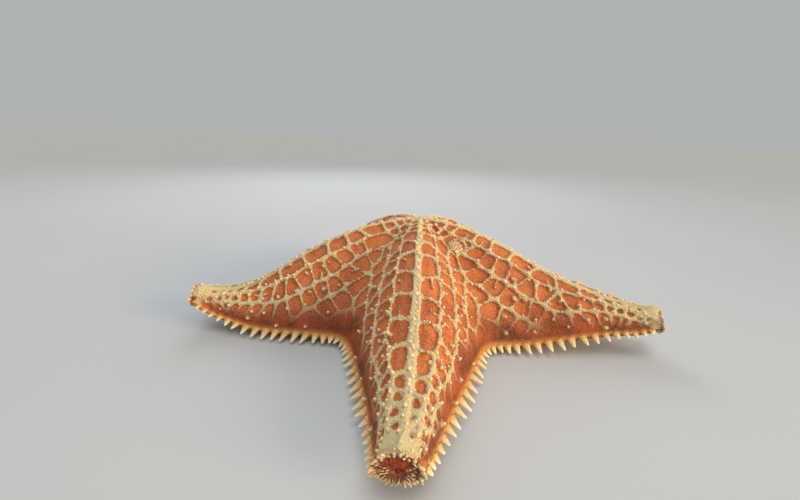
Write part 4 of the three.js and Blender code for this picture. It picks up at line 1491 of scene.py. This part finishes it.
def soft_finish(name, attribute, low, high, roughness, clear, grain_scale):
    """Skin of the underside: one colour to another by the attribute, with fine grain."""
    material, tree, shader = new_finish(name)
    cloud = clouds(tree, grain_scale)
    mottled = calculate(tree, "MULTIPLY_ADD", cloud, 0.6, field(tree, attribute))
    colour = blend_colours(tree, ramp(tree, mottled, 0.25, 1.15), srgb(*low), srgb(*high))
    tree.links.new(colour, shader.inputs["Base Color"])
    emboss(tree, shader, cloud, 0.0002, 0.5)
    shader.inputs["Roughness"].default_value = roughness
    let_light_in(shader, clear, (1.0, 0.6, 0.35), 0.0012)
    return material


jaw_lime = soft_finish("jaw_lime", "grain", (190, 132, 78), (236, 208, 156), 0.6, 0.1, 900.0)
jaws = make_piece("jaw_plates", jaw_lime, *jaw_plates())
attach(jaws, "root")
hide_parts("mouth")

# Near black where the depth field is high, in the middle pit and the troughs of the folds: painted
# shade of the mouth's opening and its folds.
lip_skin = soft_finish(
    "mouth_red_skin", "depth", (196, 120, 84), (60, 22, 16), 0.4, 0.2, 500.0)
lips = make_piece("mouth_skin", lip_skin, *mouth_skin())
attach(lips, "root")

jaw_spine_lime = spine_finish(
    "jaw_spine_lime", (196, 140, 84), (226, 194, 136), (244, 232, 200), 0.45, 0.2)
grow_spikes(
    "jaw_spines", "mouth_frame", jaw_spine_lime, JAW_SPINE_PROFILE, jaw_spine_places())

# ---- Furrow spines and sole ----
# Each small plate along a furrow carries a comb of slender spines that close over the tube
# feet, and stouter ones outside it. The plates of the sole carry short blunt spinelets,
# which the animal stands on. All are lime under thin skin.
PLATE_PITCH = 2.3
COMB_SPREAD = (-0.85, -0.42, 0.0, 0.42, 0.85)      # along the plate
COMB_FAN = 0.35                    # how much they spread along the furrow
COMB_LEAN = 0.42                   # and lean over it
COMB_LENGTH, COMB_RADIUS = 1.9, 0.24
COMB_PROFILE = (4, (-0.2, 0.5, 0.92), (1.0, 0.9, 0.55))
STOUT_ROWS = ((1.5, 1.75, 0.60), (3.5, 1.65, 0.52))  # outside the furrow's edge, length, radius
STOUT_PROFILE = (6, (-0.3, 0.0, 0.55, 0.92), (1.1, 1.0, 0.88, 0.5))
SOLE_PITCH = 3.3
SOLE_FROM, SOLE_TO = 8.2, 40       # from the arm's middle plane
SOLE_LENGTH, SOLE_RADIUS = 1.55, 0.62
SOLE_PROFILE = (5, (-0.3, 0.0, 0.6, 0.93), (1.25, 1.0, 0.85, 0.5))


def furrow_edge(wanted):
    """Points of the furrow's edge at the wanted distances out, on a straight arm."""
    line = half_arm_lines(np.linspace(0, MARGIN_SHARE, 500), 0.0)["groove"]
    return points_along(line, line[:, 0], wanted)


def comb_places():
    """Roots and ways of the furrow spines, five in a fan on every plate of each side."""
    draw = np.random.default_rng(71)
    plates = np.repeat(np.arange(8.0, END_X - 1.5, PLATE_PITCH), len(COMB_SPREAD))
    offset = np.tile(COMB_SPREAD, len(plates) // len(COMB_SPREAD))
    root = furrow_edge(plates + offset) + [0, -0.15, 0.55]
    combs = []
    for arm, side in half_arms():
        way = np.stack([COMB_FAN * offset, 0 * offset - COMB_LEAN, 0 * offset - 1.0], -1)
        way = (way + draw.normal(0, 0.07, way.shape)) * [1, side, 1]
        combs.append(on_arm(root * [1, side, 1], way, arm))
    return *join(combs), COMB_LENGTH, COMB_RADIUS


def stout_places():
    """Rows of stout spines outside each furrow, one to a plate and row."""
    draw = np.random.default_rng(72)
    plates = np.arange(9.5, END_X - 2.5, PLATE_PITCH)
    spines = []
    for arm, side in half_arms():
        for apart, length, radius in STOUT_ROWS:
            kept = plates[plates * np.tan(HALF_SECTOR) > GROOVE_HALF_WIDTH + apart + 0.8]
            root = furrow_edge(kept + draw.normal(0, 0.18, len(kept)) + 0.4 * apart)
            root = (root + [0, apart, 0.15]) * [1, side, 1]
            way = np.array([0.12, 0.12 * side, -1.0]) + draw.normal(0, 0.08, root.shape)
            lengths = length * draw.uniform(0.8, 1, len(kept))
            spines.append((*on_arm(root, way, arm), lengths, 0 * kept + radius))
    return join(spines)


def sole_places():
    """Spinelets of the sole: a jittered grid between the stout rows and the rounded edge,
    rooted in the skin above."""
    draw = np.random.default_rng(73)
    rows = np.arange(SOLE_FROM, SOLE_TO, SOLE_PITCH * 0.87)
    x, y = np.meshgrid(np.arange(9, END_X - 6, SOLE_PITCH), rows)
    x = (x + SOLE_PITCH / 2 * (np.arange(len(x)) % 2)[:, None]).ravel()
    y = y.ravel()
    margin = margin_line(np.linspace(0, 1, 400))
    in_web = x * np.tan(HALF_SECTOR) - 0.4
    on_free_arm = np.interp(x, margin[:, 0], margin[:, 1]) - 4.2
    widest = np.where(x < margin[0, 0], in_web, on_free_arm)
    x, y = x[y < widest], y[y < widest]
    spots = []
    for arm, side in half_arms():
        shaken = np.stack([x, y * side, 0 * x], -1) + draw.normal(0, 0.45, (len(x), 3)) * [1, 1, 0]
        spots.append(place_on_arm(shaken, arm))
    spots = np.concatenate(spots)
    below = np.flatnonzero(skin_fields["level"] < -0.1)
    flat = skin_points[below] * [1, 1, 0]
    roots = skin_points[below[nearest_index(spots * [1, 1, 0], flat)]]
    spots[:, 2] = roots[:, 2] + 0.1
    ways = np.array([0, 0, -1.0]) + draw.normal(0, 0.12, spots.shape)
    lengths = SOLE_LENGTH * draw.uniform(0.7, 1.0, len(spots))
    return spots, ways, lengths, SOLE_RADIUS * draw.uniform(0.8, 1.15, len(spots))


furrow_lime = spine_finish(
    "furrow_spine_lime", (200, 146, 90), (228, 198, 142), (244, 234, 206), 0.45, 0.25)
grow_spikes("furrow_combs", "skin", furrow_lime, COMB_PROFILE, comb_places())
grow_spikes("furrow_stout_spines", "skin", furrow_lime, STOUT_PROFILE, stout_places())
sole_lime = spine_finish(
    "sole_spine_lime", (196, 140, 86), (218, 180, 124), (236, 216, 176), 0.55, 0.15)
grow_spikes("sole_spinelets", "skin", sole_lime, SOLE_PROFILE, sole_places())

# ---- Tube feet ----
# Two rows of soft, hollow feet hang from the roof of every furrow and end in suckers. They
# are clear pale skin filled with sea water, and the animal walks on them.
FOOT_PITCH = 3.0
FOOT_ROW = 1.5                     # from the furrow's middle plane
FOOT_RADIUS = 0.62
FOOT_PROFILE = (
    8,
    (-0.12, 0.0, 0.25, 0.55, 0.80, 0.86, 0.93),
    (1.15, 1.05, 0.86, 0.80, 0.88, 1.45, 1.50),
)


def foot_places():
    """Roots, ways and lengths of the tube feet. Those of a raised arm end hang free."""
    draw = np.random.default_rng(81)
    x = np.arange(9.5, END_X - 3.5, FOOT_PITCH)
    under = furrow_upturn(x)
    ceiling = GROOVE_DEPTH + 0.5 * under - 0.35
    feet = []
    for arm, side in half_arms():
        along = x + (0.25 + 0.25 * side) * FOOT_PITCH
        root = np.stack([along, 0 * x + FOOT_ROW * side, ceiling], -1)
        way = np.array([0.05, 0.10 * side, -1.0]) + draw.normal(0, 0.10, root.shape) * [1, 1, 0]
        lengths = (ceiling - under - 0.25) * draw.uniform(0.78, 0.98, len(x))
        feet.append((*on_arm(root, way, arm), lengths))
    return *join(feet), FOOT_RADIUS


foot_skin = spine_finish(
    "tube_foot_skin", (214, 150, 96), (232, 190, 140), (246, 232, 206), 0.3, 0.5)
grow_spikes("tube_feet", "skin", foot_skin, FOOT_PROFILE, foot_places())
